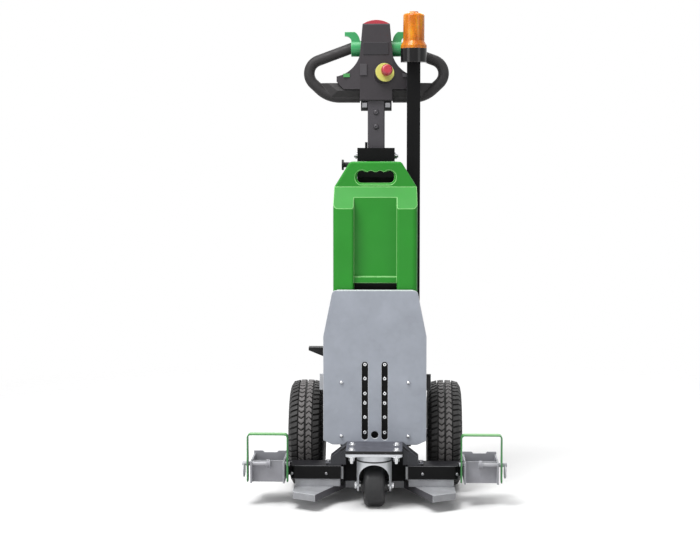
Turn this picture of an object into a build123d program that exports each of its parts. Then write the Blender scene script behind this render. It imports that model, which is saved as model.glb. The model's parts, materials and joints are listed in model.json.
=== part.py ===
from build123d import *
import math
import os

# Electric tow tractor, hand guided: two drive wheels, a swivel caster at the coupling end,
# a lift-out battery, a tilting tiller and two side clamps. Millimetres.
# +X is to the right seen from the coupling end, +Y points to the operator, +Z is up.
# The floor is Z = 0, and Y = 0 is midway between the ballast's front edge and the tyres' back.

# Clearances
FIT = 0.3
WORK_GAP = 5.0

# Drive wheels
TYRE_R = 132.0
TYRE_W = 85.0
TYRE_CROWN_DROP = 1.5
TYRE_CROWN_INSET = 20.0
TYRE_SHOULDER_DROP = 6.0
TYRE_SHOULDER_INSET = 7.0
TYRE_FLANK_DROP = 18.0
TYRE_FLANK_INSET = 2.0
TYRE_BEAD_RISE = 24.0
TYRE_BEAD_INSET = 5.0
TRACK = 340.0
BEAD_R = 54.0
BEAD_W = 58.0
RIM_WALL = 5.0
RIM_WEB = 7.0
RIM_LIP = 3.0
RIM_DISH = 3.0
HUB_R = 26.0
HUB_W = 50.0
STUB_R = 12.5
STUB_INNER_X = 62.0
HUB_NUT_R = 17.0
HUB_NUT_H = 12.0
FLANGE_R = 34.0
FLANGE_T = 9.0

# Places along Y, measured from the drive axle
BALLAST_REACH = 305.0
AXLE_Y = (BALLAST_REACH - TYRE_R) / 2
AXLE_Z = TYRE_R

# Base plate, which is the ballast
BASE_Z = 26.0
BASE_T = 16.0
BASE_TOP = BASE_Z + BASE_T
BASE_HALF_W = 110.0
BASE_REAR = 70.0
LOBE_HALF_W = 190.0
LOBE_REAR = -120.0
LOBE_OUTER_FRONT = -272.0
BAY_FRONT_HALF_W = 136.0
BAY_REAR_HALF_W = 70.0
BAY_REAR = -150.0

# Chassis side plates
SIDE_T = 5.0
SIDE_OUTER_X = 79.0
SIDE_INNER_X = SIDE_OUTER_X - SIDE_T
SIDE_TOP_RISE = 368.0
SIDE_TOP = BASE_TOP + SIDE_TOP_RISE
ARM_FRONT = -203.0
ARM_TOP = 88.0
ARM_NECK = 118.0
ARM_NECK_Y = -182.0
SIDE_REAR_SLOPE_Y = 20.0
SIDE_REAR_SLOPE_Z = 300.0
AXLE_HOLE_R = 20.0

# Front plate, galvanized
PLATE_T = 6.0
PLATE_FRONT = -170.0
PLATE_BACK = PLATE_FRONT + PLATE_T
PLATE_BOTTOM = 134.0
PLATE_TOP = 504.0
PLATE_TOP_HALF_W = 101.0
PLATE_HALF_W = 123.0
PLATE_SHOULDER_Z = 395.0
PLATE_CORNER_X = 22.0
PLATE_CORNER_Z = 10.0
PLATE_TOP_R = 10.0
RETURN_DEPTH = 25.0
SLOT_X = 23.6
SLOT_W = 15.0
SLOT_BOTTOM = 145.0
SLOT_TOP = 334.0
DRAW_HOLE_R = 9.0
DRAW_HOLE_Z = 158.0

# Rails behind the slots, with the coupling's bolt holes
RAIL_W = 28.0
RAIL_T = 10.0
RAIL_BOTTOM = 138.0
RAIL_TOP = 344.0
RAIL_HOLE_R = 4.25
RAIL_HOLES_Z = (163.0, 200.0, 234.0, 257.0, 293.0, 327.0)

# Inner front wall under the plate
WEB_T = 6.0
WEB_FRONT = -150.0
WEB_TOP = 340.0

# Caster
CASTER_Y = -246.0
CASTER_TRAIL = 16.0
CASTER_R = 50.0
CASTER_W = 50.0
CASTER_EDGE_R = 13.0
CASTER_HUB_R = 15.0
CASTER_HUB_W = 64.0
CASTER_HUB_STEP = 2.0
CASTER_AXLE_R = 5.0
CASTER_AXLE_W = 92.0
CASTER_NUT_R = 9.0
CASTER_NUT_H = 5.0
FORK_R = 41.0
FORK_TUNNEL_R = 35.5
FORK_ROOM = 8.5
FORK_CROWN_T = 5.5
FORK_TUNNEL_Z = 2 * CASTER_R + FORK_ROOM - FORK_TUNNEL_R
FORK_TOP = FORK_TUNNEL_Z + FORK_TUNNEL_R + FORK_CROWN_T
RACE_H = 13.7
RACE_TOP = FORK_TOP + RACE_H
FORK_BOSS_R = 15.0
FORK_BOSS_INSET = 1.0
FORK_NOSE_H = 30.0
FORK_TAIL_H = 20.0
HEAD_R = 40.0
KINGPIN_R = 8.0
CASTER_PLATE_W = 132.0
CASTER_PLATE_D = 88.0
CASTER_PLATE_T = 6.0

# Caster bracket
BRACKET_T = 8.0
BRACKET_BOTTOM = RACE_TOP + FIT + CASTER_PLATE_T
BRACKET_TOP = BRACKET_BOTTOM + BRACKET_T
BRACKET_HALF_W = 66.0
BRACKET_FRONT = -290.0
BRACKET_CORNER_R = 6.0
WING_T = 6.0
WING_FRONT = -212.0
WING_OUTER_X = 98.0
WING_KNEE_Z_DROP = 30.0
WING_KNEE_Z = BRACKET_TOP - WING_KNEE_Z_DROP
WING_FOOT_W = 12.0

# Crossbars that carry the side clamps, which stand just outside the tyres
CLAMP_OFFSET = 41.0
CLAMP_INNER_X = TRACK / 2 + CLAMP_OFFSET
BAR_END_GAP = 13.0
BAR_BOTTOM = 60.0
BAR_TOP = 92.0
BAR_FRONT = -215.0
BAR_REAR = -150.0
BAR_END_X = CLAMP_INNER_X - BAR_END_GAP
BAR_CORNER_R = 10.0
TONGUE_FRONT = -171.0

# Side clamps
CLAMP_W = 81.0
CLAMP_OUTER_X = CLAMP_INNER_X + CLAMP_W
CLAMP_T = 4.0
CLAMP_FRONT = -226.0
CLAMP_REAR = -138.0
CLAMP_NOSE = -244.0
CLAMP_BOTTOM = 55.0
CLAMP_TOP = 106.0
CLAMP_BACK_RISE = 7.0
CLAMP_BACK_TOP = CLAMP_TOP + CLAMP_BACK_RISE
NOTCH_W = 38.0
NOTCH_DEPTH = 4.0
NOTCH_SLOPE = 4.0
PIN_Y = -233.0
PIN_Z = 100.0
PIN_R = 5.0
PIN_INNER_OFFSET = 34.0
PIN_INNER_X = CLAMP_INNER_X + PIN_INNER_OFFSET
PIN_END_PROUD = 19.0
PIN_END_X = CLAMP_OUTER_X + PIN_END_PROUD
LUG_W = 9.0
LUG_R = 9.5
STUB_PROUD = 12.0
STUB_END_X = CLAMP_INNER_X - STUB_PROUD
RING_R = 15.0
RING_WIRE_R = 2.1
RING_WIRE_SIDES = 8
RING_OFFSET = 15.0
RING_X = CLAMP_OUTER_X + RING_OFFSET

# Bails over the clamps
BAIL_T = 3.0
BAIL_W = 28.0
BAIL_TOP_W = 22.0
BAIL_TOP = 172.0
BAIL_BOTTOM = 57.0
BAIL_WAIST_Z = 128.0
BAIL_BEND_R = 9.0
BAIL_FOOT_R = 10.0
BAIL_HOLE_R_RISE = 0.5
BAIL_HOLE_R = PIN_R + BAIL_HOLE_R_RISE

# Drive unit
DRIVE_HALF_W = 68.0
DRIVE_FRONT = -72.0
DRIVE_REAR = 62.0
DRIVE_TOP = 196.0
DRIVE_EDGE_R = 14.0
MOTOR_R = 52.0
MOTOR_TOP = 330.0
MOTOR_Y = -25.0

# Mast
MAST_FRONT = 0.0
MAST_REAR = 70.0
MAST_WALL = 5.0
MAST_WIDE_HALF_W = 96.0
MAST_WIDE_TOP_RISE = 150.0
MAST_WIDE_TOP = SIDE_TOP + MAST_WIDE_TOP_RISE
MAST_NECK_HALF_W = 46.0
MAST_NECK_BOTTOM_RISE = 130.0
MAST_NECK_BOTTOM = MAST_WIDE_TOP + MAST_NECK_BOTTOM_RISE
MAST_TOP_RISE = 80.0
MAST_TOP = MAST_NECK_BOTTOM + MAST_TOP_RISE
COVER_T = 18.0
COVER_INSET = 6.0
COVER_BOTTOM = 80.0
COVER_TOP_RISE = 80.0
COVER_TOP = MAST_WIDE_TOP + COVER_TOP_RISE
COVER_EDGE_R = 7.0

# Battery tray and battery
TRAY_T = 6.0
TRAY_HALF_W = 112.0
TRAY_LIP_T = 4.0
TRAY_LIP_H = 26.0
TRAY_FRONT = -150.0
TRAY_TOP = SIDE_TOP + TRAY_T
BATTERY_HALF_W = 101.0
BATTERY_FRONT = -135.0
BATTERY_REAR = -15.0
BATTERY_SHOULDER_Z_RISE = 281.0
BATTERY_SHOULDER_Z = TRAY_TOP + BATTERY_SHOULDER_Z_RISE
BATTERY_NECK_Z_RISE = 51.0
BATTERY_NECK_Z = BATTERY_SHOULDER_Z + BATTERY_NECK_Z_RISE
BATTERY_NECK_HALF_W = 99.5
BATTERY_TOP_RISE = 61.0
BATTERY_TOP = BATTERY_NECK_Z + BATTERY_TOP_RISE
BATTERY_TOP_HALF_W = 62.0
BATTERY_EDGE_R = 12.0
GRIP_FRONT = -89.0
GRIP_REAR = -49.0
GRIP_EDGE_R = 5.0
GRIP_HOLE_W = 90.0
GRIP_HOLE_BOTTOM_RISE = 9.5
GRIP_HOLE_BOTTOM = BATTERY_NECK_Z + GRIP_HOLE_BOTTOM_RISE
GRIP_HOLE_TOP_RISE = 36.0
GRIP_HOLE_TOP = BATTERY_NECK_Z + GRIP_HOLE_TOP_RISE
GRIP_HOLE_R = 12.0
GRIP_RIM = 5.0
GRIP_FINGERS = 4
GRIP_FINGER_R = 11.0
GRIP_FINGER_RISE = 3.0
RECESS_HALF_W = 52.0
RECESS_DEPTH = 24.0
RECESS_EDGE_R = 5.0
LEDGE_BOTTOM_RISE = 102.0
LEDGE_BOTTOM = TRAY_TOP + LEDGE_BOTTOM_RISE
LEDGE_TOP_RISE = 15.0
LEDGE_TOP = LEDGE_BOTTOM + LEDGE_TOP_RISE
LEDGE_DEPTH = 10.0
FOOT_NOTCH_DEPTH = 70.0

# Tiller bracket and pivot
PIVOT_Y = 36.0
PIVOT_Z_RISE = 53.0
PIVOT_Z = MAST_TOP + PIVOT_Z_RISE
PIVOT_R = 6.0
PIVOT_HALF_W = 55.0
PIVOT_NUT_R = 9.0
PIVOT_NUT_H = 6.0
CHEEK_HALF_W = 46.0
CHEEK_T = 6.0
CHEEK_TOP_RISE = 19.0
CHEEK_TOP = PIVOT_Z + CHEEK_TOP_RISE
CHEEK_R = 16.0
BRACKET_BASE_T = 8.0
YOKE_FRONT = -10.0
YOKE_WEB_T = 6.0
YOKE_TAB_X = -27.0
YOKE_TAB_W = 6.0
YOKE_TAB_H = 14.0
SLEEVE_R = 13.0
SLEEVE_GAP = 2.0
PLUNGER_Y = 14.0
PLUNGER_Z_DROP = 23.0
PLUNGER_Z = PIVOT_Z - PLUNGER_Z_DROP
PLUNGER_R = 6.5
PLUNGER_END_X = -85.0
PLUNGER_DISC_R = 13.0
PLUNGER_DISC_T = 5.0

# Tiller
TUBE_W = 42.0
TUBE_WALL = 3.0
TUBE_R = 4.0
TUBE_BOTTOM_DROP = 25.0
TUBE_BOTTOM = PIVOT_Z - TUBE_BOTTOM_DROP
HEAD_BOTTOM_RISE = 135.0
HEAD_BOTTOM = PIVOT_Z + HEAD_BOTTOM_RISE
HEAD_TOP_RISE = 188.0
HEAD_TOP = HEAD_BOTTOM + HEAD_TOP_RISE
HEAD_TOP_HALF_W = 33.5
HEAD_COLUMN_HALF_W = 40.5
HEAD_MID_Z_RISE = 111.0
HEAD_MID_Z = HEAD_BOTTOM + HEAD_MID_Z_RISE
HEAD_FLARE_X = 56.0
HEAD_FLARE_RISE = 83.0
HEAD_FLARE = (HEAD_FLARE_X, HEAD_BOTTOM + HEAD_FLARE_RISE)
HEAD_WING_X = 98.0
HEAD_WING_TOP_RISE = 60.0
HEAD_WING_TOP = HEAD_BOTTOM + HEAD_WING_TOP_RISE
HEAD_WING_SIDE_RISE = 47.0
HEAD_WING_SIDE = HEAD_BOTTOM + HEAD_WING_SIDE_RISE
HEAD_WING_FOOT_X = 80.0
HEAD_WING_BOTTOM_RISE = 28.0
HEAD_WING_BOTTOM = HEAD_BOTTOM + HEAD_WING_BOTTOM_RISE
HEAD_WING_HALF_D = 19.0
HEAD_FRONT = -30.0
HEAD_BACK = 24.0
HEAD_EDGE_R = 3.0
COLLAR_HALF_W = 38.0
COLLAR_H = 24.0
COLLAR_FRONT = -12.0
COLLAR_REAR = 34.0
LOOP_R = 13.4
LOOP_BAR_TOP_RISE = 44.0
LOOP_BAR_TOP = HEAD_BOTTOM + LOOP_BAR_TOP_RISE
LOOP_BAR_RIDGE_RISE = 25.0
LOOP_BAR_RIDGE = HEAD_BOTTOM + LOOP_BAR_RIDGE_RISE
LOOP_BAR_AXIS_RISE = 9.0
LOOP_BAR_AXIS = HEAD_BOTTOM + LOOP_BAR_AXIS_RISE
LOOP_BAR_TOP_HALF_D = 11.0
LOOP_BAR_RIDGE_HALF_D = 20.0
LOOP_BAR_END_HALF_D = 5.0
LOOP_BAR_TAPER_X = 95.0
LOOP_BAR_END_X = 137.5
LOOP_END_X = 54.0
LOOP_END_RISE = 132.7
LOOP_END = (LOOP_END_X, HEAD_BOTTOM + LOOP_END_RISE)
LOOP_KNEE_X = 196.0
LOOP_KNEE_RISE = 80.5
LOOP_KNEE = (LOOP_KNEE_X, HEAD_BOTTOM + LOOP_KNEE_RISE)
LOOP_HEEL_X = 119.5
LOOP_HEEL = (LOOP_HEEL_X, LOOP_BAR_AXIS)
LOOP_KNEE_R = 34.0
LOOP_HEEL_R = 72.0
LEVER_Z_RISE = 129.0
LEVER_Z = HEAD_BOTTOM + LEVER_Z_RISE
SPINDLE_R = 8.0
SPINDLE_OUT_X = 72.0
LEVER_HUB_END_X = 62.0
LEVER_HUB_R = 20.0
LEVER_TIP_X = 78.0
LEVER_TIP_RISE = 169.0
LEVER_TIP = (LEVER_TIP_X, HEAD_BOTTOM + LEVER_TIP_RISE)
LEVER_TIP_T = 10.0
LEVER_BACK_X = 44.5
LEVER_BACK_RISE = 160.0
LEVER_BACK = (LEVER_BACK_X, HEAD_BOTTOM + LEVER_BACK_RISE)
LEVER_PALM_X = 63.5
LEVER_PALM_RISE = 152.0
LEVER_PALM = (LEVER_PALM_X, HEAD_BOTTOM + LEVER_PALM_RISE)
LEVER_SHOULDER_X = 53.0
LEVER_ROOT_H = 17.0
LEVER_NECK_H = 11.0
LEVER_D = 26.0
SWITCH_RISE = 10.0
SWITCH_FRONT = -20.0
SWITCH_REAR = 32.0
SWITCH_LIP_BOTTOM_DROP = 46.0
SWITCH_LIP_BOTTOM = HEAD_TOP - SWITCH_LIP_BOTTOM_DROP
ESTOP_X = 21.0
ESTOP_Z_RISE = 68.0
ESTOP_Z = HEAD_BOTTOM + ESTOP_Z_RISE
ESTOP_YAW = 16.0
ESTOP_PITCH = 16.0
ESTOP_RISE = 10.0
ESTOP_BOSS_H = 26.0
ESTOP_PLATE_R = 23.5
ESTOP_PLATE_T = 3.0
ESTOP_STEM_R = 9.0
ESTOP_STEM_H = 16.0
ESTOP_CAP_R = 14.0
ESTOP_CAP_H = 13.0
PANEL_X = -31.5
PANEL_Z_RISE = 76.0
PANEL_Z = HEAD_BOTTOM + PANEL_Z_RISE
PANEL_W = 17.0
PANEL_H = 28.0
PANEL_T = 3.0
BUTTON_X = 73.0
BUTTON_Z_RISE = 62.0
BUTTON_Z = HEAD_BOTTOM + BUTTON_Z_RISE
BUTTON_W = 16.0
BUTTON_H = 9.0
BUTTON_RISE = 3.0

# Beacon
BEACON_X = 92.0
BEACON_Y = -15.0
POST_W = 33.0
POST_T = 12.0
POST_TOP_RISE = 92.0
POST_TOP = HEAD_BOTTOM + POST_TOP_RISE
BEACON_BASE_R = 32.0
BEACON_BASE_TOP_RISE = 34.0
BEACON_BASE_TOP = POST_TOP + BEACON_BASE_TOP_RISE
LENS_FLANGE_R = 32.0
LENS_FLANGE_TOP_RISE = 7.0
LENS_FLANGE_TOP = BEACON_BASE_TOP + LENS_FLANGE_TOP_RISE
LENS_R = 26.0
LENS_FLARE_TOP_RISE = 11.0
LENS_FLARE_TOP = LENS_FLANGE_TOP + LENS_FLARE_TOP_RISE
LENS_TOP_RISE = 67.0
LENS_TOP = LENS_FLARE_TOP + LENS_TOP_RISE
LENS_WALL = 2.5
LENS_EDGE_R = 7.0
LENS_CAP_R = 11.0
LENS_CAP_TOP_RISE = 4.0
LENS_CAP_TOP = LENS_TOP + LENS_CAP_TOP_RISE
CORE_R = 12.0
CORE_TOP_DROP = 20.0
CORE_TOP = LENS_TOP - CORE_TOP_DROP
REFLECTOR_R = 20.0
REFLECTOR_T = 3.0
REFLECTOR_Z_RISE = 24.0
REFLECTOR_Z = LENS_FLARE_TOP + REFLECTOR_Z_RISE

# Side lever and side lugs
LEVER_END_X = 162.0
SIDE_LEVER_TOP_DROP = 52.0
SIDE_LEVER_TOP = SIDE_TOP - SIDE_LEVER_TOP_DROP
SIDE_LEVER_ROOT_Z_DROP = 29.0
SIDE_LEVER_ROOT_Z = SIDE_LEVER_TOP - SIDE_LEVER_ROOT_Z_DROP
SIDE_LEVER_TIP_T = 7.0
SIDE_LEVER_BEND_X = 108.0
SIDE_LEVER_Y = -80.0
SIDE_LEVER_D = 30.0
LUG_END_X = 135.0
SIDE_LUG_BOTTOM = 255.0
SIDE_LUG_TOP = 294.0
SIDE_LUG_Y = -100.0
SIDE_LUG_T = 8.0

TILLER_Y = AXLE_Y + PIVOT_Y


# Helpers: blocks and plates by their limits, in the part's own frame

def block(x0, x1, y0, y1, z0, z1):
    centre = Pos((x0 + x1) / 2, (y0 + y1) / 2, (z0 + z1) / 2)
    return centre * Box(x1 - x0, y1 - y0, z1 - z0)


def front_plate_of(face, y0, y1):
    """Extrude a face drawn in X and Z from y0 to y1."""
    return extrude(Plane.XZ.offset(-y0) * face, amount=y1 - y0, dir=(0, 1, 0))


def side_plate_of(face, x0, x1):
    """Extrude a face drawn in Y and Z from x0 to x1."""
    return extrude(Plane.YZ.offset(x0) * face, amount=x1 - x0, dir=(1, 0, 0))


def floor_plate_of(face, z0, z1):
    """Extrude a face drawn in X and Y from z0 to z1."""
    return extrude(Plane.XY.offset(z0) * face, amount=z1 - z0, dir=(0, 0, 1))


def rod_x(x0, x1, y, z, radius):
    return Pos((x0 + x1) / 2, y, z) * Rot(0, 90, 0) * Cylinder(radius, x1 - x0)


def rod_y(y0, y1, x, z, radius):
    return Pos(x, (y0 + y1) / 2, z) * Rot(90, 0, 0) * Cylinder(radius, y1 - y0)


def rod_z(z0, z1, x, y, radius):
    return Pos(x, y, (z0 + z1) / 2) * Cylinder(radius, z1 - z0)


def outline(points):
    return Polygon(*points, align=None)


def symmetric(right_half):
    """Close a right half outline, listed from top centre to bottom centre, by its mirror image."""
    left_half = [(-x, z) for x, z in reversed(right_half) if x > 0]
    return outline(list(right_half) + left_half)


def from_axle(points):
    """Move points given as (Y from the axle, Z) into the part's frame."""
    return [(AXLE_Y + y, z) for y, z in points]


def left_of(part):
    return mirror(part, about=Plane.YZ)


def turned_about_x(points, x, y, z):
    """Revolve a profile of (distance along X, radius) points about an axle at x, y, z."""
    profile = make_face(Polyline(*points, close=True))
    return Pos(x, y, z) * revolve(profile, axis=Axis.X)


# Drive wheels, right-hand side

def tyre():
    half = TYRE_W / 2
    belly = (TYRE_R + BEAD_R) / 2
    points = [
        (-BEAD_W / 2, BEAD_R + FIT),
        (-half + TYRE_BEAD_INSET, BEAD_R + TYRE_BEAD_RISE),
        (-half, belly),
        (-half + TYRE_FLANK_INSET, TYRE_R - TYRE_FLANK_DROP),
        (-half + TYRE_SHOULDER_INSET, TYRE_R - TYRE_SHOULDER_DROP),
        (-half + TYRE_CROWN_INSET, TYRE_R - TYRE_CROWN_DROP),
        (0.0, TYRE_R),
    ]
    points += [(-x, r) for x, r in reversed(points[:-1])]
    return turned_about_x(points, TRACK / 2, AXLE_Y, AXLE_Z)


def rim():
    lip_x = BEAD_W / 2 + RIM_LIP
    inner = BEAD_R - RIM_WALL
    points = [
        (-HUB_W / 2, STUB_R),
        (-HUB_W / 2, HUB_R),
        (-RIM_WEB / 2, HUB_R + RIM_DISH),
        (-RIM_WEB / 2, inner - RIM_DISH),
        (-lip_x, inner),
        (-lip_x, BEAD_R),
        (lip_x, BEAD_R),
        (lip_x, inner),
        (RIM_WEB / 2, inner - RIM_DISH),
        (RIM_WEB / 2, HUB_R + RIM_DISH),
        (HUB_W / 2, HUB_R),
        (HUB_W / 2, STUB_R),
    ]
    return turned_about_x(points, TRACK / 2, AXLE_Y, AXLE_Z)


def stub_axle():
    nut_inner = TRACK / 2 + HUB_W / 2
    nut_outer = nut_inner + HUB_NUT_H
    shaft = rod_x(STUB_INNER_X, nut_inner, AXLE_Y, AXLE_Z, STUB_R)
    hexagon = RegularPolygon(HUB_NUT_R, 6)
    nut = Pos(nut_inner, AXLE_Y, AXLE_Z) * Rot(0, 90, 0) * extrude(hexagon, amount=nut_outer - nut_inner)
    return shaft + nut


def bearing_flange():
    outer = SIDE_OUTER_X + FLANGE_T
    plate = rod_x(SIDE_OUTER_X, outer, AXLE_Y, AXLE_Z, FLANGE_R)
    return plate - rod_x(SIDE_OUTER_X, outer, AXLE_Y, AXLE_Z, STUB_R + FIT)


# Chassis

def base_plate():
    corners = [
        (0.0, BAY_REAR),
        (BAY_REAR_HALF_W, BAY_REAR),
        (BAY_FRONT_HALF_W, -BALLAST_REACH),
        (LOBE_HALF_W, LOBE_OUTER_FRONT),
        (LOBE_HALF_W, LOBE_REAR),
        (BASE_HALF_W, LOBE_REAR),
        (BASE_HALF_W, BASE_REAR),
        (0.0, BASE_REAR),
    ]
    face = symmetric([(x, AXLE_Y + y) for x, y in corners])
    return floor_plate_of(face, BASE_Z, BASE_TOP)


def side_plate():
    corners = [
        (ARM_FRONT, BASE_TOP),
        (ARM_FRONT, ARM_TOP),
        (ARM_NECK_Y, ARM_NECK),
        (PLATE_BACK, ARM_NECK),
        (PLATE_BACK, SIDE_TOP),
        (SIDE_REAR_SLOPE_Y, SIDE_TOP),
        (MAST_REAR, SIDE_REAR_SLOPE_Z),
        (MAST_REAR, BASE_TOP),
    ]
    plate = side_plate_of(outline(from_axle(corners)), SIDE_INNER_X, SIDE_OUTER_X)
    return plate - rod_x(SIDE_INNER_X, SIDE_OUTER_X, AXLE_Y, AXLE_Z, AXLE_HOLE_R)


def front_web():
    y0 = AXLE_Y + WEB_FRONT
    return block(-SIDE_INNER_X, SIDE_INNER_X, y0, y0 + WEB_T, BASE_TOP, WEB_TOP)


def drive_unit():
    gearbox = block(-DRIVE_HALF_W, DRIVE_HALF_W, AXLE_Y + DRIVE_FRONT, AXLE_Y + DRIVE_REAR,
                    BASE_TOP, DRIVE_TOP)
    gearbox = fillet(gearbox.edges().filter_by(Axis.X), DRIVE_EDGE_R)
    motor = rod_z(DRIVE_TOP, MOTOR_TOP, 0.0, AXLE_Y + MOTOR_Y, MOTOR_R)
    unit = gearbox + motor
    for side in (-1, 1):
        inner = side * (STUB_INNER_X - FIT)
        outer = side * DRIVE_HALF_W
        unit -= rod_x(min(inner, outer), max(inner, outer), AXLE_Y, AXLE_Z, STUB_R + FIT)
    return unit


def front_plate():
    corners = [
        (0.0, PLATE_TOP),
        (PLATE_TOP_HALF_W, PLATE_TOP),
        (PLATE_HALF_W, PLATE_SHOULDER_Z),
        (PLATE_HALF_W, PLATE_BOTTOM + PLATE_CORNER_Z),
        (PLATE_HALF_W - PLATE_CORNER_X, PLATE_BOTTOM),
        (0.0, PLATE_BOTTOM),
    ]
    face = symmetric(corners)
    top_corners = face.vertices().filter_by(lambda v: abs(v.Y - PLATE_TOP) < 1 and abs(v.X) > 1)
    face = fillet(top_corners, PLATE_TOP_R)
    slot_middle = (SLOT_TOP + SLOT_BOTTOM) / 2
    for side in (-1, 1):
        slot = SlotOverall(SLOT_TOP - SLOT_BOTTOM, SLOT_W, rotation=90)
        face -= Pos(side * SLOT_X, slot_middle) * slot
    face -= Pos(0, DRAW_HOLE_Z) * Circle(DRAW_HOLE_R)
    plate = front_plate_of(face, AXLE_Y + PLATE_FRONT, AXLE_Y + PLATE_BACK)
    half = PLATE_TOP_HALF_W - PLATE_TOP_R
    plate += block(-half, half, AXLE_Y + PLATE_BACK, AXLE_Y + PLATE_FRONT + RETURN_DEPTH,
                   PLATE_TOP - PLATE_T, PLATE_TOP)
    return plate


def hitch_rails():
    rails = []
    for side in (-1, 1):
        centre = side * SLOT_X
        y0 = AXLE_Y + PLATE_BACK
        rail = block(centre - RAIL_W / 2, centre + RAIL_W / 2, y0, y0 + RAIL_T, RAIL_BOTTOM, RAIL_TOP)
        for z in RAIL_HOLES_Z:
            rail -= rod_y(y0, y0 + RAIL_T, centre, z, RAIL_HOLE_R)
        rails.append(rail)
    return rails


# Caster and its bracket

def caster_bracket():
    y0 = AXLE_Y + BRACKET_FRONT
    y1 = AXLE_Y + PLATE_FRONT
    plate = block(-BRACKET_HALF_W, BRACKET_HALF_W, y0, y1, BRACKET_BOTTOM, BRACKET_TOP)
    front_corners = plate.edges().filter_by(Axis.Z).group_by(Axis.Y)[0]
    plate = fillet(front_corners, BRACKET_CORNER_R)
    knee = WING_OUTER_X + WING_T
    wing_face = outline([
        (BRACKET_HALF_W, BRACKET_TOP),
        (knee, WING_KNEE_Z),
        (knee, BAR_TOP),
        (WING_OUTER_X, BAR_TOP),
        (WING_OUTER_X, WING_KNEE_Z - WING_T / 2),
        (BRACKET_HALF_W, BRACKET_BOTTOM),
    ])
    wing_y0 = AXLE_Y + WING_FRONT
    wing = front_plate_of(wing_face, wing_y0, y1)
    wing += block(WING_OUTER_X, knee + WING_FOOT_W, wing_y0, y1, BAR_TOP, BAR_TOP + WING_T)
    slope = (BRACKET_BOTTOM - WING_KNEE_Z + WING_T / 2) / (WING_OUTER_X - BRACKET_HALF_W)
    gusset_face = outline([
        (SIDE_OUTER_X, BAR_TOP),
        (WING_OUTER_X, BAR_TOP),
        (WING_OUTER_X, WING_KNEE_Z - WING_T / 2),
        (SIDE_OUTER_X, BRACKET_BOTTOM - slope * (SIDE_OUTER_X - BRACKET_HALF_W)),
    ])
    wing += front_plate_of(gusset_face, wing_y0, wing_y0 + WING_T)
    return plate + wing + left_of(wing)


def caster_plate():
    y = AXLE_Y + CASTER_Y
    z0 = BRACKET_BOTTOM - CASTER_PLATE_T
    plate = block(-CASTER_PLATE_W / 2, CASTER_PLATE_W / 2, y - CASTER_PLATE_D / 2, y + CASTER_PLATE_D / 2,
                  z0, BRACKET_BOTTOM)
    plate = fillet(plate.edges().filter_by(Axis.Z), BRACKET_CORNER_R)
    return plate + rod_z(FORK_TOP + FIT, z0, 0.0, y, KINGPIN_R)


def caster_fork():
    y = AXLE_Y + CASTER_Y
    axle_y = y + CASTER_TRAIL
    shell = rod_z(CASTER_R, FORK_TOP, 0.0, y, FORK_R)
    shell += block(-FORK_R, FORK_R, y, axle_y, CASTER_R, FORK_TOP)
    leg_face = outline([
        (y - FORK_R, FORK_TOP),
        (y - FORK_R, FORK_TOP - FORK_NOSE_H),
        (axle_y - FORK_BOSS_R, CASTER_R),
        (axle_y + FORK_BOSS_R, CASTER_R),
        (axle_y + FORK_BOSS_R, FORK_TOP - FORK_TAIL_H),
        (axle_y, FORK_TOP),
    ])
    hood = shell & side_plate_of(leg_face, -FORK_R, FORK_R)
    boss_x = FORK_R - FORK_BOSS_INSET
    hood += rod_x(-boss_x, boss_x, axle_y, CASTER_R, FORK_BOSS_R)
    tunnel_y0 = y - 2 * FORK_R
    tunnel_y1 = axle_y + 2 * FORK_R
    hood -= rod_y(tunnel_y0, tunnel_y1, 0.0, FORK_TUNNEL_Z, FORK_TUNNEL_R)
    hood -= block(-FORK_TUNNEL_R, FORK_TUNNEL_R, tunnel_y0, tunnel_y1, 0.0, FORK_TUNNEL_Z)
    race = rod_z(FORK_TOP, RACE_TOP, 0.0, y, HEAD_R)
    race -= rod_z(FORK_TOP, RACE_TOP, 0.0, y, KINGPIN_R + FIT)
    fork = hood + race
    return fork - rod_x(-FORK_R, FORK_R, axle_y, CASTER_R, CASTER_AXLE_R)


def caster_axle():
    axle_y = AXLE_Y + CASTER_Y + CASTER_TRAIL
    half = CASTER_AXLE_W / 2
    bolt = rod_x(-half, half, axle_y, CASTER_R, CASTER_AXLE_R)
    for side in (-1, 1):
        outer = side * half
        inner = side * (half - CASTER_NUT_H)
        bolt += rod_x(min(inner, outer), max(inner, outer), axle_y, CASTER_R, CASTER_NUT_R)
    return bolt


def caster_wheel():
    half = CASTER_W / 2
    hub = CASTER_HUB_W / 2
    shoulder_r = CASTER_HUB_R + CASTER_HUB_STEP
    bore = CASTER_AXLE_R + FIT
    crown = half - CASTER_EDGE_R
    inner_r = CASTER_R - CASTER_EDGE_R
    arc_mid = CASTER_EDGE_R * math.sqrt(0.5)
    lines = [
        Line((-hub, bore), (-hub, CASTER_HUB_R)),
        Line((-hub, CASTER_HUB_R), (-half, shoulder_r)),
        Line((-half, shoulder_r), (-half, inner_r)),
        ThreePointArc((-half, inner_r), (-crown - arc_mid, inner_r + arc_mid), (-crown, CASTER_R)),
        Line((-crown, CASTER_R), (crown, CASTER_R)),
        ThreePointArc((crown, CASTER_R), (crown + arc_mid, inner_r + arc_mid), (half, inner_r)),
        Line((half, inner_r), (half, shoulder_r)),
        Line((half, shoulder_r), (hub, CASTER_HUB_R)),
        Line((hub, CASTER_HUB_R), (hub, bore)),
        Line((hub, bore), (-hub, bore)),
    ]
    profile = make_face(lines)
    return Pos(0, AXLE_Y + CASTER_Y + CASTER_TRAIL, CASTER_R) * revolve(profile, axis=Axis.X)


# Crossbars, side clamps and bails, right-hand side

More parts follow.
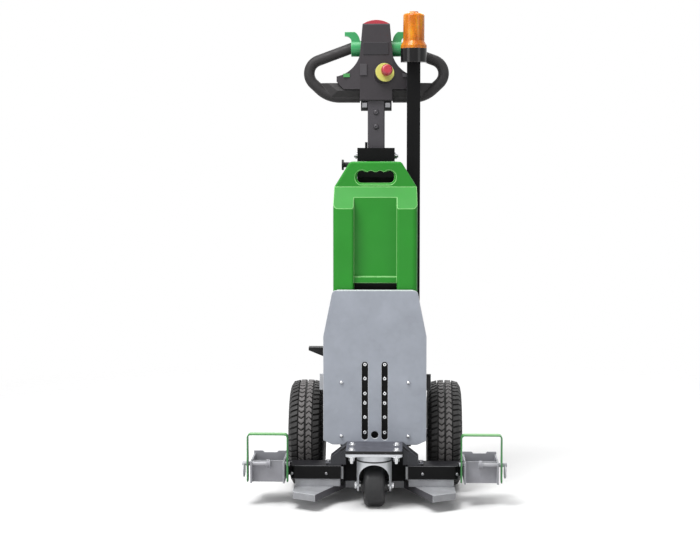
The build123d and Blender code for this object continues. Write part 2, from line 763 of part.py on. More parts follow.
def crossbar():
    front = AXLE_Y + BAR_FRONT
    corners = [
        (SIDE_OUTER_X, front),
        (BAR_END_X, front),
        (BAR_END_X, AXLE_Y + TONGUE_FRONT),
        (CLAMP_INNER_X, AXLE_Y + TONGUE_FRONT),
        (CLAMP_INNER_X, AXLE_Y + BAR_REAR),
        (SIDE_OUTER_X, AXLE_Y + BAR_REAR),
    ]
    face = outline(corners)
    front_outer = face.vertices().group_by(Axis.Y)[0].sort_by(Axis.X)[-1]
    face = fillet(front_outer, BAR_CORNER_R)
    return floor_plate_of(face, BAR_BOTTOM, BAR_TOP)


def clamp_channel():
    front = AXLE_Y + CLAMP_FRONT
    rear = AXLE_Y + CLAMP_REAR
    nose = AXLE_Y + CLAMP_NOSE
    pin_y = AXLE_Y + PIN_Y
    x0 = CLAMP_INNER_X
    x1 = CLAMP_OUTER_X
    channel = block(x0, x1, front, rear, CLAMP_BOTTOM, CLAMP_TOP)
    channel -= block(x0 + CLAMP_T, x1 - CLAMP_T, front + CLAMP_T, rear - CLAMP_T,
                     CLAMP_BOTTOM + CLAMP_T, CLAMP_TOP)
    channel += block(x0, x1, rear - CLAMP_T, rear, CLAMP_TOP, CLAMP_BACK_TOP)
    middle = (x0 + x1) / 2
    notch_face = outline([
        (middle - NOTCH_W / 2, CLAMP_BACK_TOP),
        (middle - NOTCH_W / 2 + NOTCH_SLOPE, CLAMP_BACK_TOP - NOTCH_DEPTH),
        (middle + NOTCH_W / 2 - NOTCH_SLOPE, CLAMP_BACK_TOP - NOTCH_DEPTH),
        (middle + NOTCH_W / 2, CLAMP_BACK_TOP),
    ])
    channel -= front_plate_of(notch_face, rear - CLAMP_T, rear)
    for ear_x in (x0, x1 - CLAMP_T):
        channel += block(ear_x, ear_x + CLAMP_T, nose, front, CLAMP_BOTTOM, CLAMP_TOP)
    lug = rod_x(PIN_INNER_X, PIN_INNER_X + LUG_W, pin_y, PIN_Z, LUG_R)
    lug += block(PIN_INNER_X, PIN_INNER_X + LUG_W, pin_y, front, PIN_Z - LUG_R, PIN_Z - NOTCH_DEPTH)
    channel += lug
    channel -= rod_x(PIN_INNER_X, x1, pin_y, PIN_Z, PIN_R + FIT)
    channel += rod_x(STUB_END_X, x0, pin_y, PIN_Z, PIN_R)
    return channel


def clamp_pin():
    pin_y = AXLE_Y + PIN_Y
    pin = rod_x(PIN_INNER_X, PIN_END_X, pin_y, PIN_Z, PIN_R)
    wire = Pos(0, RING_R) * RegularPolygon(RING_WIRE_R, RING_WIRE_SIDES)
    ring = Pos(RING_X, pin_y, PIN_Z - RING_R) * revolve(wire, axis=Axis.X)
    return pin + ring


def bail():
    inner_x = CLAMP_INNER_X - WORK_GAP - BAIL_T
    outer_x = CLAMP_OUTER_X + WORK_GAP + BAIL_T
    pin_y = AXLE_Y + PIN_Y
    outer_face = outline([
        (inner_x, BAIL_BOTTOM),
        (outer_x, BAIL_BOTTOM),
        (outer_x, BAIL_TOP),
        (inner_x, BAIL_TOP),
    ])
    outer_face = fillet(outer_face.vertices().group_by(Axis.Y)[-1], BAIL_BEND_R)
    gap_face = outline([
        (inner_x + BAIL_T, BAIL_BOTTOM),
        (outer_x - BAIL_T, BAIL_BOTTOM),
        (outer_x - BAIL_T, BAIL_TOP - BAIL_T),
        (inner_x + BAIL_T, BAIL_TOP - BAIL_T),
    ])
    gap_face = fillet(gap_face.vertices().group_by(Axis.Y)[-1], BAIL_BEND_R - BAIL_T)
    strip = front_plate_of(outer_face - gap_face, pin_y - BAIL_W / 2, pin_y + BAIL_W / 2)
    leg_face = outline([
        (pin_y - BAIL_W / 2, BAIL_BOTTOM),
        (pin_y + BAIL_W / 2, BAIL_BOTTOM),
        (pin_y + BAIL_W / 2, BAIL_WAIST_Z - BAIL_W / 2),
        (pin_y + BAIL_TOP_W / 2, BAIL_WAIST_Z),
        (pin_y + BAIL_TOP_W / 2, BAIL_TOP),
        (pin_y - BAIL_TOP_W / 2, BAIL_TOP),
        (pin_y - BAIL_TOP_W / 2, BAIL_WAIST_Z),
        (pin_y - BAIL_W / 2, BAIL_WAIST_Z - BAIL_W / 2),
    ])
    leg_face = fillet(leg_face.vertices().group_by(Axis.Y)[0], BAIL_FOOT_R)
    strip = strip & side_plate_of(leg_face, inner_x, outer_x)
    return strip - rod_x(inner_x, outer_x, pin_y, PIN_Z, BAIL_HOLE_R)


# Battery, its tray, the mast and its cover

def battery_tray():
    y0 = AXLE_Y + TRAY_FRONT
    y1 = AXLE_Y + MAST_FRONT
    tray = block(-TRAY_HALF_W, TRAY_HALF_W, y0, y1, SIDE_TOP, TRAY_TOP)
    lip_y1 = AXLE_Y + BATTERY_REAR
    lip = block(TRAY_HALF_W - TRAY_LIP_T, TRAY_HALF_W, y0, lip_y1, TRAY_TOP, TRAY_TOP + TRAY_LIP_H)
    return tray + lip + left_of(lip)


def battery_body():
    """The case up to the foot of its grip: rounded in plan, sloped at the front and back."""
    side_face = outline(from_axle([
        (BATTERY_FRONT, TRAY_TOP),
        (BATTERY_FRONT, BATTERY_SHOULDER_Z),
        (GRIP_FRONT, BATTERY_NECK_Z),
        (GRIP_REAR, BATTERY_NECK_Z),
        (BATTERY_REAR, BATTERY_SHOULDER_Z),
        (BATTERY_REAR, TRAY_TOP),
    ]))
    front_face = symmetric([
        (0.0, BATTERY_NECK_Z),
        (BATTERY_NECK_HALF_W, BATTERY_NECK_Z),
        (BATTERY_HALF_W, BATTERY_SHOULDER_Z),
        (BATTERY_HALF_W, TRAY_TOP),
        (0.0, TRAY_TOP),
    ])
    y0 = AXLE_Y + BATTERY_FRONT
    y1 = AXLE_Y + BATTERY_REAR
    plan = RectangleRounded(2 * BATTERY_HALF_W, y1 - y0, BATTERY_EDGE_R)
    body = floor_plate_of(Pos(0, (y0 + y1) / 2) * plan, TRAY_TOP, BATTERY_NECK_Z)
    body = body & side_plate_of(side_face, -BATTERY_HALF_W, BATTERY_HALF_W)
    return body & front_plate_of(front_face, y0, y1)


def battery_grip():
    """The carrying grip with its hole, whose upper edge has a hollow for each finger."""
    y0 = AXLE_Y + GRIP_FRONT
    y1 = AXLE_Y + GRIP_REAR
    face = symmetric([
        (0.0, BATTERY_TOP),
        (BATTERY_TOP_HALF_W, BATTERY_TOP),
        (BATTERY_NECK_HALF_W, BATTERY_NECK_Z),
        (0.0, BATTERY_NECK_Z),
    ])
    face = fillet(face.vertices().group_by(Axis.Y)[-1], BATTERY_EDGE_R)
    grip = front_plate_of(face, y0, y1)
    ends = grip.faces().sort_by(Axis.Y)
    rim_edges = ends[0].edges() + ends[-1].edges()
    grip = fillet(rim_edges.filter_by(lambda edge: edge.center().Z > BATTERY_NECK_Z + FIT), GRIP_EDGE_R)
    middle = (GRIP_HOLE_BOTTOM + GRIP_HOLE_TOP) / 2
    hole = Pos(0, middle) * RectangleRounded(GRIP_HOLE_W, GRIP_HOLE_TOP - GRIP_HOLE_BOTTOM, GRIP_HOLE_R)
    finger_pitch = GRIP_HOLE_W / GRIP_FINGERS
    for finger in range(GRIP_FINGERS):
        finger_x = (finger - (GRIP_FINGERS - 1) / 2) * finger_pitch
        hole += Pos(finger_x, GRIP_HOLE_TOP + GRIP_FINGER_RISE - GRIP_FINGER_R) * Circle(GRIP_FINGER_R)
    grip -= front_plate_of(hole, y0, y1)
    sill = grip.edges().filter_by(Axis.X).filter_by(lambda edge: abs(edge.center().Z - GRIP_HOLE_BOTTOM) < FIT)
    return chamfer(sill, GRIP_RIM)


def battery_case():
    case = battery_body() + battery_grip()
    y0 = AXLE_Y + BATTERY_FRONT
    half = RECESS_HALF_W
    case -= block(-half, half, y0, y0 + RECESS_DEPTH, LEDGE_BOTTOM, BATTERY_NECK_Z)
    case -= block(-half, half, y0, y0 + FOOT_NOTCH_DEPTH, TRAY_TOP, LEDGE_BOTTOM)
    columns = case.edges().filter_by(Axis.Z).filter_by(lambda edge: abs(edge.center().Y - y0) < FIT)
    case = fillet(columns.filter_by(lambda edge: abs(abs(edge.center().X) - half) < FIT), RECESS_EDGE_R)
    ledge_back = y0 + RECESS_DEPTH
    return case + block(-half, half, ledge_back - LEDGE_DEPTH, ledge_back, LEDGE_BOTTOM, LEDGE_TOP)


def mast():
    corners = [
        (0.0, MAST_TOP),
        (MAST_NECK_HALF_W, MAST_TOP),
        (MAST_NECK_HALF_W, MAST_NECK_BOTTOM),
        (MAST_WIDE_HALF_W, MAST_WIDE_TOP),
        (MAST_WIDE_HALF_W, SIDE_TOP),
        (SIDE_INNER_X, SIDE_TOP),
        (SIDE_INNER_X, DRIVE_TOP + WORK_GAP),
        (0.0, DRIVE_TOP + WORK_GAP),
    ]
    face = symmetric(corners)
    column = front_plate_of(face, AXLE_Y + MAST_FRONT, AXLE_Y + MAST_REAR)
    pocket = offset(face, amount=-MAST_WALL, kind=Kind.INTERSECTION)
    column -= front_plate_of(pocket, AXLE_Y + MAST_FRONT + MAST_WALL, AXLE_Y + MAST_REAR)
    motor_room = rod_z(DRIVE_TOP, MOTOR_TOP + WORK_GAP, 0.0, AXLE_Y + MOTOR_Y, MOTOR_R + WORK_GAP)
    return column - motor_room


def rear_cover():
    corners = [
        (0.0, COVER_TOP),
        (MAST_NECK_HALF_W - COVER_INSET, COVER_TOP),
        (SIDE_INNER_X - COVER_INSET, MAST_WIDE_TOP - COVER_INSET),
        (SIDE_INNER_X - COVER_INSET, COVER_BOTTOM),
        (0.0, COVER_BOTTOM),
    ]
    y0 = AXLE_Y + MAST_REAR
    cover = front_plate_of(symmetric(corners), y0, y0 + COVER_T)
    return fillet(cover.faces().sort_by(Axis.Y)[-1].edges(), COVER_EDGE_R)


# Tiller bracket, pivot and plunger

def tiller_bracket():
    y0 = AXLE_Y + YOKE_FRONT
    y1 = AXLE_Y + MAST_REAR
    base_top = MAST_TOP + BRACKET_BASE_T
    base = block(-CHEEK_HALF_W, CHEEK_HALF_W, y0, y1, MAST_TOP, base_top)
    web = block(-CHEEK_HALF_W, CHEEK_HALF_W, y0, y0 + YOKE_WEB_T, base_top, CHEEK_TOP)
    tab = block(YOKE_TAB_X, YOKE_TAB_X + YOKE_TAB_W, y0, y0 + YOKE_WEB_T, CHEEK_TOP, CHEEK_TOP + YOKE_TAB_H)
    cheek_face = outline([(y0, base_top), (y1, base_top), (y1, CHEEK_TOP), (y0, CHEEK_TOP)])
    rear_top = cheek_face.vertices().group_by(Axis.Y)[-1].sort_by(Axis.X)[-1]
    cheek_face = fillet(rear_top, CHEEK_R)
    cheek = side_plate_of(cheek_face, CHEEK_HALF_W - CHEEK_T, CHEEK_HALF_W)
    yoke = base + web + tab + cheek + left_of(cheek)
    return yoke - rod_x(-CHEEK_HALF_W, CHEEK_HALF_W, TILLER_Y, PIVOT_Z, PIVOT_R)


def tiller_pivot():
    bolt = rod_x(-PIVOT_HALF_W, PIVOT_HALF_W, TILLER_Y, PIVOT_Z, PIVOT_R)
    nut = rod_x(CHEEK_HALF_W, CHEEK_HALF_W + PIVOT_NUT_H, TILLER_Y, PIVOT_Z, PIVOT_NUT_R)
    return bolt + nut + left_of(nut)


def plunger_knob():
    y = AXLE_Y + PLUNGER_Y
    shaft = rod_x(PLUNGER_END_X, -CHEEK_HALF_W, y, PLUNGER_Z, PLUNGER_R)
    disc_inner = PLUNGER_END_X + PLUNGER_DISC_T
    disc = rod_x(PLUNGER_END_X, disc_inner, y, PLUNGER_Z, PLUNGER_DISC_R)
    return shaft + disc


# Tiller

def tiller_tube():
    outer = RectangleRounded(TUBE_W, TUBE_W, TUBE_R)
    inner = RectangleRounded(TUBE_W - 2 * TUBE_WALL, TUBE_W - 2 * TUBE_WALL, TUBE_R - TUBE_WALL)
    tube = floor_plate_of(Pos(0, TILLER_Y) * (outer - inner), TUBE_BOTTOM, HEAD_BOTTOM)
    sleeve_end = CHEEK_HALF_W - CHEEK_T - SLEEVE_GAP
    tube += rod_x(-sleeve_end, sleeve_end, TILLER_Y, PIVOT_Z, SLEEVE_R)
    return tube - rod_x(-sleeve_end, sleeve_end, TILLER_Y, PIVOT_Z, PIVOT_R + FIT)


def tiller_collar():
    hole = TUBE_W + 2 * FIT
    collar = block(-COLLAR_HALF_W, COLLAR_HALF_W, TILLER_Y + COLLAR_FRONT, TILLER_Y + COLLAR_REAR,
                   HEAD_BOTTOM - COLLAR_H, HEAD_BOTTOM)
    return collar - block(-hole / 2, hole / 2, TILLER_Y - hole / 2, TILLER_Y + hole / 2,
                          HEAD_BOTTOM - COLLAR_H, HEAD_BOTTOM)


def estop_place():
    front = TILLER_Y + HEAD_FRONT - ESTOP_RISE
    return Pos(ESTOP_X, front, ESTOP_Z) * Rot(90 - ESTOP_PITCH, 0, 0) * Rot(0, ESTOP_YAW, 0)


def head_casing():
    """The head's column and its wings, which sweep back towards the handle loops."""
    lines = []
    for side in (1, -1):
        flank = [
            (0.0, HEAD_TOP),
            (side * HEAD_TOP_HALF_W, HEAD_TOP),
            (side * HEAD_COLUMN_HALF_W, HEAD_MID_Z),
        ]
        foot = [
            (side * HEAD_WING_X, HEAD_WING_TOP),
            (side * HEAD_WING_X, HEAD_WING_SIDE),
            (side * HEAD_WING_FOOT_X, HEAD_WING_BOTTOM),
            (side * HEAD_COLUMN_HALF_W, HEAD_WING_BOTTOM),
            (side * HEAD_COLUMN_HALF_W, HEAD_BOTTOM),
            (0.0, HEAD_BOTTOM),
        ]
        flare_x, flare_z = HEAD_FLARE
        lines.append(Polyline(*flank))
        lines.append(ThreePointArc(flank[-1], (side * flare_x, flare_z), foot[0]))
        lines.append(Polyline(*foot))
    front = TILLER_Y + HEAD_FRONT
    back = TILLER_Y + HEAD_BACK
    casing = front_plate_of(make_face(lines), front, back)
    plan = symmetric([
        (0.0, front),
        (HEAD_COLUMN_HALF_W, front),
        (HEAD_WING_X, TILLER_Y - HEAD_WING_HALF_D),
        (HEAD_WING_X, TILLER_Y + HEAD_WING_HALF_D),
        (HEAD_COLUMN_HALF_W, back),
        (0.0, back),
    ])
    return casing & floor_plate_of(plan, HEAD_BOTTOM, HEAD_TOP)


def tiller_head():
    casing = head_casing()
    front_edges = casing.faces().sort_by(Axis.Y)[0].edges()
    foot_edges = front_edges.filter_by(lambda edge: edge.center().Z < HEAD_WING_BOTTOM)
    casing = fillet(foot_edges + front_edges.group_by(Axis.Z)[-1], HEAD_EDGE_R)
    estop_boss = estop_place() * Pos(0, 0, -ESTOP_BOSS_H / 2) * Cylinder(ESTOP_PLATE_R, ESTOP_BOSS_H)
    return casing + estop_boss


def loop_bar():
    """The handle loop's lower bar: a ridge along its front, and drawn in where the tube leaves it."""
    seam_slope = (HEAD_WING_X - HEAD_WING_FOOT_X) / (HEAD_WING_SIDE - HEAD_WING_BOTTOM)
    seam_x = HEAD_WING_FOOT_X + (LOOP_BAR_TOP - HEAD_WING_BOTTOM) * seam_slope
    inner_x = HEAD_COLUMN_HALF_W
    heel_x = (LOOP_BAR_TAPER_X + LOOP_HEEL_X) / 2
    face = outline([
        (inner_x, LOOP_BAR_AXIS),
        (heel_x, LOOP_BAR_AXIS),
        (LOOP_BAR_END_X, LOOP_BAR_RIDGE),
        (LOOP_BAR_END_X, LOOP_BAR_TOP),
        (seam_x, LOOP_BAR_TOP),
        (HEAD_WING_FOOT_X, HEAD_WING_BOTTOM),
        (inner_x, HEAD_WING_BOTTOM),
    ])
    half_section = [
        (LOOP_BAR_TOP_HALF_D, LOOP_BAR_TOP),
        (LOOP_BAR_RIDGE_HALF_D, LOOP_BAR_RIDGE),
        (LOOP_R, LOOP_BAR_AXIS),
    ]
    half_plan = [
        (inner_x, LOOP_BAR_RIDGE_HALF_D),
        (LOOP_BAR_TAPER_X, LOOP_BAR_RIDGE_HALF_D),
        (LOOP_BAR_END_X, LOOP_BAR_END_HALF_D),
    ]
    section = [(TILLER_Y + d, z) for d, z in half_section]
    section += [(TILLER_Y - d, z) for d, z in reversed(half_section)]
    plan = [(x, TILLER_Y + d) for x, d in half_plan]
    plan += [(x, TILLER_Y - d) for x, d in reversed(half_plan)]
    bar = front_plate_of(face, TILLER_Y - LOOP_BAR_RIDGE_HALF_D, TILLER_Y + LOOP_BAR_RIDGE_HALF_D)
    bar = bar & side_plate_of(outline(section), inner_x, LOOP_BAR_END_X)
    return bar & floor_plate_of(outline(plan), LOOP_BAR_AXIS, LOOP_BAR_TOP)


def handle_loop():
    bends = (LOOP_END, LOOP_KNEE, LOOP_HEEL, (HEAD_COLUMN_HALF_W, LOOP_BAR_AXIS))
    path = FilletPolyline(*[(x, TILLER_Y, z) for x, z in bends], radius=[LOOP_KNEE_R, LOOP_HEEL_R])
    tube = sweep(Plane(path @ 0, z_dir=path % 0) * Circle(LOOP_R), path)
    tube -= block(0.0, LEVER_HUB_END_X + FIT, TILLER_Y - 2 * LOOP_R, TILLER_Y + 2 * LOOP_R,
                  HEAD_MID_Z, HEAD_TOP)
    spindle = rod_x(HEAD_TOP_HALF_W, SPINDLE_OUT_X, TILLER_Y, LEVER_Z, SPINDLE_R) - head_casing()
    return loop_bar() + tube + spindle


def thumb_lever():
    hub = rod_x(HEAD_TOP_HALF_W, LEVER_HUB_END_X, TILLER_Y, LEVER_Z, LEVER_HUB_R)
    tip_x, tip_z = LEVER_TIP
    inner_x = HEAD_COLUMN_HALF_W
    root = (inner_x, LEVER_Z + LEVER_ROOT_H)
    shoulder = (LEVER_SHOULDER_X, tip_z)
    tip_low = (tip_x, tip_z - LEVER_TIP_T)
    neck = (LEVER_HUB_END_X, LEVER_Z + LEVER_NECK_H)
    wing_face = make_face([
        Polyline(neck, (LEVER_HUB_END_X, LEVER_Z), (inner_x, LEVER_Z), root),
        ThreePointArc(root, LEVER_BACK, shoulder),
        Polyline(shoulder, LEVER_TIP, tip_low),
        ThreePointArc(tip_low, LEVER_PALM, neck),
    ])
    lever = hub + front_plate_of(wing_face, TILLER_Y - LEVER_D / 2, TILLER_Y + LEVER_D / 2)
    lever -= head_casing()
    return lever - rod_x(0.0, tip_x, TILLER_Y, LEVER_Z, SPINDLE_R + FIT)


def belly_switch():
    half = HEAD_TOP_HALF_W
    dome_face = make_face([
        Line((-half, HEAD_TOP), (half, HEAD_TOP)),
        ThreePointArc((half, HEAD_TOP), (0.0, HEAD_TOP + SWITCH_RISE), (-half, HEAD_TOP)),
    ])
    dome = front_plate_of(dome_face, TILLER_Y + SWITCH_FRONT, TILLER_Y + SWITCH_REAR)
    lip = block(-half, half, TILLER_Y + HEAD_BACK, TILLER_Y + SWITCH_REAR, SWITCH_LIP_BOTTOM, HEAD_TOP)
    return dome + lip


def estop_plate():
    ring = Cylinder(ESTOP_PLATE_R, ESTOP_PLATE_T) - Cylinder(ESTOP_STEM_R, ESTOP_PLATE_T)
    return estop_place() * Pos(0, 0, ESTOP_PLATE_T / 2) * ring


def estop_button():
    cap_z = ESTOP_STEM_H + ESTOP_CAP_H / 2
    cap = Pos(0, 0, cap_z) * Cylinder(ESTOP_CAP_R, ESTOP_CAP_H)
    cap = fillet(cap.edges().group_by(Axis.Z)[-1], ESTOP_CAP_H / 2)
    stem = Pos(0, 0, ESTOP_STEM_H / 2) * Cylinder(ESTOP_STEM_R, ESTOP_STEM_H)
    return estop_place() * (stem + cap)


def head_buttons():
    front = TILLER_Y + HEAD_FRONT
    panel = block(PANEL_X - PANEL_W / 2, PANEL_X + PANEL_W / 2, front - PANEL_T, front,
                  PANEL_Z - PANEL_H / 2, PANEL_Z + PANEL_H / 2)
    right = block(BUTTON_X - BUTTON_W / 2, BUTTON_X + BUTTON_W / 2,
                  TILLER_Y - HEAD_BACK - BUTTON_RISE, TILLER_Y - HEAD_WING_HALF_D,
                  BUTTON_Z - BUTTON_H / 2, BUTTON_Z + BUTTON_H / 2)
    right -= head_casing()
    return [panel, right, left_of(right)]


# Beacon on its post

def beacon_post():
    x0 = BEACON_X - POST_W / 2
    y1 = AXLE_Y + MAST_FRONT
    return block(x0, x0 + POST_W, y1 - POST_T, y1, TRAY_TOP, POST_TOP)


def beacon_base():
    return rod_z(POST_TOP, BEACON_BASE_TOP, BEACON_X, AXLE_Y + BEACON_Y, BEACON_BASE_R)


def beacon_lens():
    inner = LENS_R - LENS_WALL
    ceiling = LENS_TOP - LENS_WALL
    profile = make_face(Polyline(
        (inner, BEACON_BASE_TOP),
        (LENS_FLANGE_R, BEACON_BASE_TOP),
        (LENS_FLANGE_R, LENS_FLANGE_TOP),
        (LENS_R, LENS_FLARE_TOP),
        (LENS_R, LENS_TOP),
        (LENS_CAP_R, LENS_TOP),
        (LENS_CAP_R, LENS_CAP_TOP),
        (0.0, LENS_CAP_TOP),
        (0.0, ceiling),
        (inner, ceiling),
        close=True,
    ))
    for corner_r, corner_z in ((LENS_R, LENS_TOP), (inner, ceiling)):
        corner = profile.vertices().sort_by_distance((corner_r, corner_z, 0))[0]
        profile = fillet(corner, LENS_EDGE_R)
    return Pos(BEACON_X, AXLE_Y + BEACON_Y, 0) * revolve(Plane.XZ * profile, axis=Axis.Z)


def beacon_core():
    y = AXLE_Y + BEACON_Y
    core = rod_z(BEACON_BASE_TOP, CORE_TOP, BEACON_X, y, CORE_R)
    disc = rod_z(REFLECTOR_Z, REFLECTOR_Z + REFLECTOR_T, BEACON_X, y, REFLECTOR_R)
    return core + disc


# Side lever and side lugs

def side_lever():
    face = outline([
        (-SIDE_OUTER_X, SIDE_LEVER_TOP),
        (-SIDE_OUTER_X, SIDE_LEVER_ROOT_Z),
        (-SIDE_LEVER_BEND_X, SIDE_LEVER_ROOT_Z),
        (-LEVER_END_X, SIDE_LEVER_TOP - SIDE_LEVER_TIP_T),
        (-LEVER_END_X, SIDE_LEVER_TOP),
    ])
    y = AXLE_Y + SIDE_LEVER_Y
    return front_plate_of(face, y - SIDE_LEVER_D / 2, y + SIDE_LEVER_D / 2)


def side_lugs():
    y = AXLE_Y + SIDE_LUG_Y
    lug = block(SIDE_OUTER_X, LUG_END_X, y, y + SIDE_LUG_T, SIDE_LUG_BOTTOM, SIDE_LUG_TOP)
    return [lug, left_of(lug)]


# Every node by its name

def nodes():
    made = {
        "base_plate": base_plate(),
        "front_web": front_web(),
        "drive_unit": drive_unit(),
        "front_plate": front_plate(),
        "hitch_rails": hitch_rails(),
        "caster_bracket": caster_bracket(),
        "caster_plate": caster_plate(),
        "caster_fork": caster_fork(),
        "caster_axle": caster_axle(),
        "caster_wheel": caster_wheel(),
        "battery_tray": battery_tray(),
        "battery_case": battery_case(),
        "mast": mast(),
        "rear_cover": rear_cover(),
        "tiller_bracket": tiller_bracket(),
        "tiller_pivot": tiller_pivot(),
        "plunger_knob": plunger_knob(),
        "tiller_tube": tiller_tube(),
        "tiller_collar": tiller_collar(),
        "tiller_head": tiller_head(),
        "belly_switch": belly_switch(),
        "estop_plate": estop_plate(),
        "estop_button": estop_button(),
        "head_buttons": head_buttons(),
        "beacon_post": beacon_post(),
        "beacon_base": beacon_base(),
        "beacon_lens": beacon_lens(),
        "beacon_core": beacon_core(),
        "side_lever": side_lever(),
        "side_lugs": side_lugs(),
    }
    one_node = {
        "side_plates": side_plate(),
        "bearing_flanges": bearing_flange(),
        "crossbars": crossbar(),
        "clamp_pins": clamp_pin(),
        "thumb_levers": thumb_lever(),
    }
    for name, right in one_node.items():
        made[name] = [right, left_of(right)]
    two_nodes = {
        "tyre": tyre(),
        "rim": rim(),
        "stub_axle": stub_axle(),
        "clamp_channel": clamp_channel(),
        "bail": bail(),
        "handle_loop": handle_loop(),
    }
    for name, right in two_nodes.items():
        made[name + "_right"] = right
        made[name + "_left"] = left_of(right)
    return made


os.makedirs("parts", exist_ok=True)
for node_name, shape in nodes().items():
    solids = shape if isinstance(shape, list) else [shape]
    model = Compound(children=[solid for part in solids for solid in part.solids()])
    export_step(model, "parts/" + node_name + ".step")
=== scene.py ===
import json
import math

import bmesh
import bpy
from mathutils import Matrix, Vector


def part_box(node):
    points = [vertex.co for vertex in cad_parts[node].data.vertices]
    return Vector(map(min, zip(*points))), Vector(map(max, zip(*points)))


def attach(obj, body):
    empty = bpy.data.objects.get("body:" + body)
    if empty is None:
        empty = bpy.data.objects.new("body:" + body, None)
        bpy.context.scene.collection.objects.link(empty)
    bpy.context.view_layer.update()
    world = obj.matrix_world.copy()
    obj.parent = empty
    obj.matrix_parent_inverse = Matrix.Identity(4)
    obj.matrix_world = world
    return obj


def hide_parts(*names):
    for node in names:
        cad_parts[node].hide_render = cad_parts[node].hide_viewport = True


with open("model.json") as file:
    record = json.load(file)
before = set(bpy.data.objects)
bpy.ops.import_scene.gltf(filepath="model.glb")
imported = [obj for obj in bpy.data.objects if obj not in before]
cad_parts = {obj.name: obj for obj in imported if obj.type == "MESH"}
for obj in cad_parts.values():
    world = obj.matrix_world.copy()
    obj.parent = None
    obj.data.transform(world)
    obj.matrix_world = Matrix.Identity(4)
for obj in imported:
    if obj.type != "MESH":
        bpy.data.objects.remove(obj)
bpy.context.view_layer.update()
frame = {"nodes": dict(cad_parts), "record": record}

# Electric tow tractor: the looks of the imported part. Metres, in the part's own frame.
MM = 0.001

# Camera at the photograph's angle
CAMERA_AT = (0.0514, -3.7292, 0.8426)
CAMERA_DOWN_DEG = 4.445
CAMERA_TURN_DEG = 1.736
CAMERA_LENS = 79.34
CAMERA_SENSOR = 36.0

# Floor and surroundings
FLOOR_HALF = 9.0
FLOOR_FADE_START = 0.75
FLOOR_FADE_END = 2.3
FLOOR_PALE = 0.94
FLOOR_BOUNCE = 0.45
FLOOR_ROUGHNESS = 0.9
FLOOR_SPECULAR = 0.1
AMBIENT = 0.28

# Area lights: name, place, point they look at, width and height, power
BODY_MIDDLE = (0.0, 0.0, 0.55)
BODY_FOOT = (0.0, 0.0, 0.1)
LIGHTS = [
    ("key", (-1.3, -1.5, 3.6), BODY_MIDDLE, (1.5, 1.5), 105.0),
    ("fill_right", (3.0, -2.6, 1.6), BODY_MIDDLE, (1.6, 2.2), 16.0),
    ("fill_left", (-3.0, -2.6, 1.4), BODY_MIDDLE, (1.6, 2.2), 28.0),
    ("back", (0.6, 2.7, 2.7), BODY_MIDDLE, (2.2, 1.4), 50.0),
    ("top", (0.0, -0.3, 3.6), BODY_MIDDLE, (1.6, 1.6), 36.0),
    ("front", (-0.4, -3.4, 0.5), BODY_FOOT, (2.0, 0.7), 8.0),
]

# Tyre tread
TREAD_ROUND = 56
TREAD_DEPTH = 6.5 * MM
TREAD_SUNK = 1.0 * MM
TREAD_GROOVE = 3.8 * MM
TREAD_DRAFT = 0.4 * MM
MID_ROW = (2.4 * MM, 15.8 * MM)
MID_CHEVRON = 6.0 * MM
MID_PHASE = 0.25
SHOULDER_ROW = (19.0 * MM, 33.0 * MM)
SHOULDER_SLANT = 6.0 * MM
SHOULDER_FOOT = (39.2 * MM, 117.0 * MM)
BLOCK_EDGE = 0.5 * MM
BLOCK_EDGE_STEPS = 2
BLOCK_EDGE_DEG = 50.0

# Tyre carcass: the crown's curve, then shares of the half width and of the radius
CROWN_SQUARE = 1.757
CROWN_FOURTH = 2384.0
CARCASS_SEGMENTS = 120
GROOVE_SHARES = (0.0, 0.3, 0.6, 0.8)
WALL_SHARES = [
    (0.93, 0.885),
    (0.965, 0.83),
    (0.985, 0.80),
    (0.96, 0.79),
    (1.0, 0.71),
    (0.97, 0.63),
    (0.91, 0.56),
    (0.92, 0.54),
    (0.86, 0.50),
]
BEAD_SHARE = 0.68
BEAD_FIT = 0.5 * MM

# Bolt sizes, and proportions as shares of the width across flats
M6_FLATS = 10.0 * MM
M8_FLATS = 13.0 * MM
FOOT_BOLT_FLATS = 8.0 * MM
WASHER_R = 0.92
WASHER_T = 0.13
WASHER_EDGE = (0.96, 0.7)
HEAD_RISE = 0.5
HEAD_EDGE = (0.86, 0.86)
NUT_RISE = 0.75
NUT_EDGE = (0.88, 0.92)
BOLT_END_R = 0.3
BOLT_END_RISE = 0.45
BOLT_END_EDGE = (0.8, 0.95)
HEX_SIDES = 6
WASHER_SIDES = 24
BOLT_END_SIDES = 16

# Domed heads: the dome's steps, and the socket as shares of the radius and of the rise
DOME_RISE = 0.62
DOME_STEPS = 4
DOME_STEP_DEG = 18.0
DOME_SIDES = 20
SOCKET_R = 0.28
SOCKET_FLOOR = 0.5

# Front plate: its bolts, and the bushes in the rails behind the slots
PLATE_BOLT_X = 79.8 * MM
PLATE_BOLT_R = 5.0 * MM
PLATE_BOLT_RISE = 1.1
PLATE_BOLT_HEIGHTS = [height * MM for height in (284, 155)]
SLOT_X = 23.6 * MM
BUSH_R = 4.4 * MM
BUSH_HOLE_R = 1.4 * MM
BUSH_PROUD = 3.0 * MM
BUSH_EDGE = (0.9, 0.75)
BUSH_SIDES = 24
BUSH_HEIGHTS = [height * MM for height in (163, 200, 234, 257, 293, 327)]

# Caster: the bolts of its bracket and the seal above its fork
BRACKET_BOLT_X = 52.0 * MM
BRACKET_BOLT_REACH = 34.0 * MM
CASTER_PLATE_T = 6.0 * MM
SEAL_R = 41.8 * MM
SEAL_INNER_R = 39.0 * MM
SEAL_H = 3.0 * MM
SEAL_Z = 112.6 * MM
SEAL_EDGE = (0.99, 0.3)
SEAL_SIDES = 48

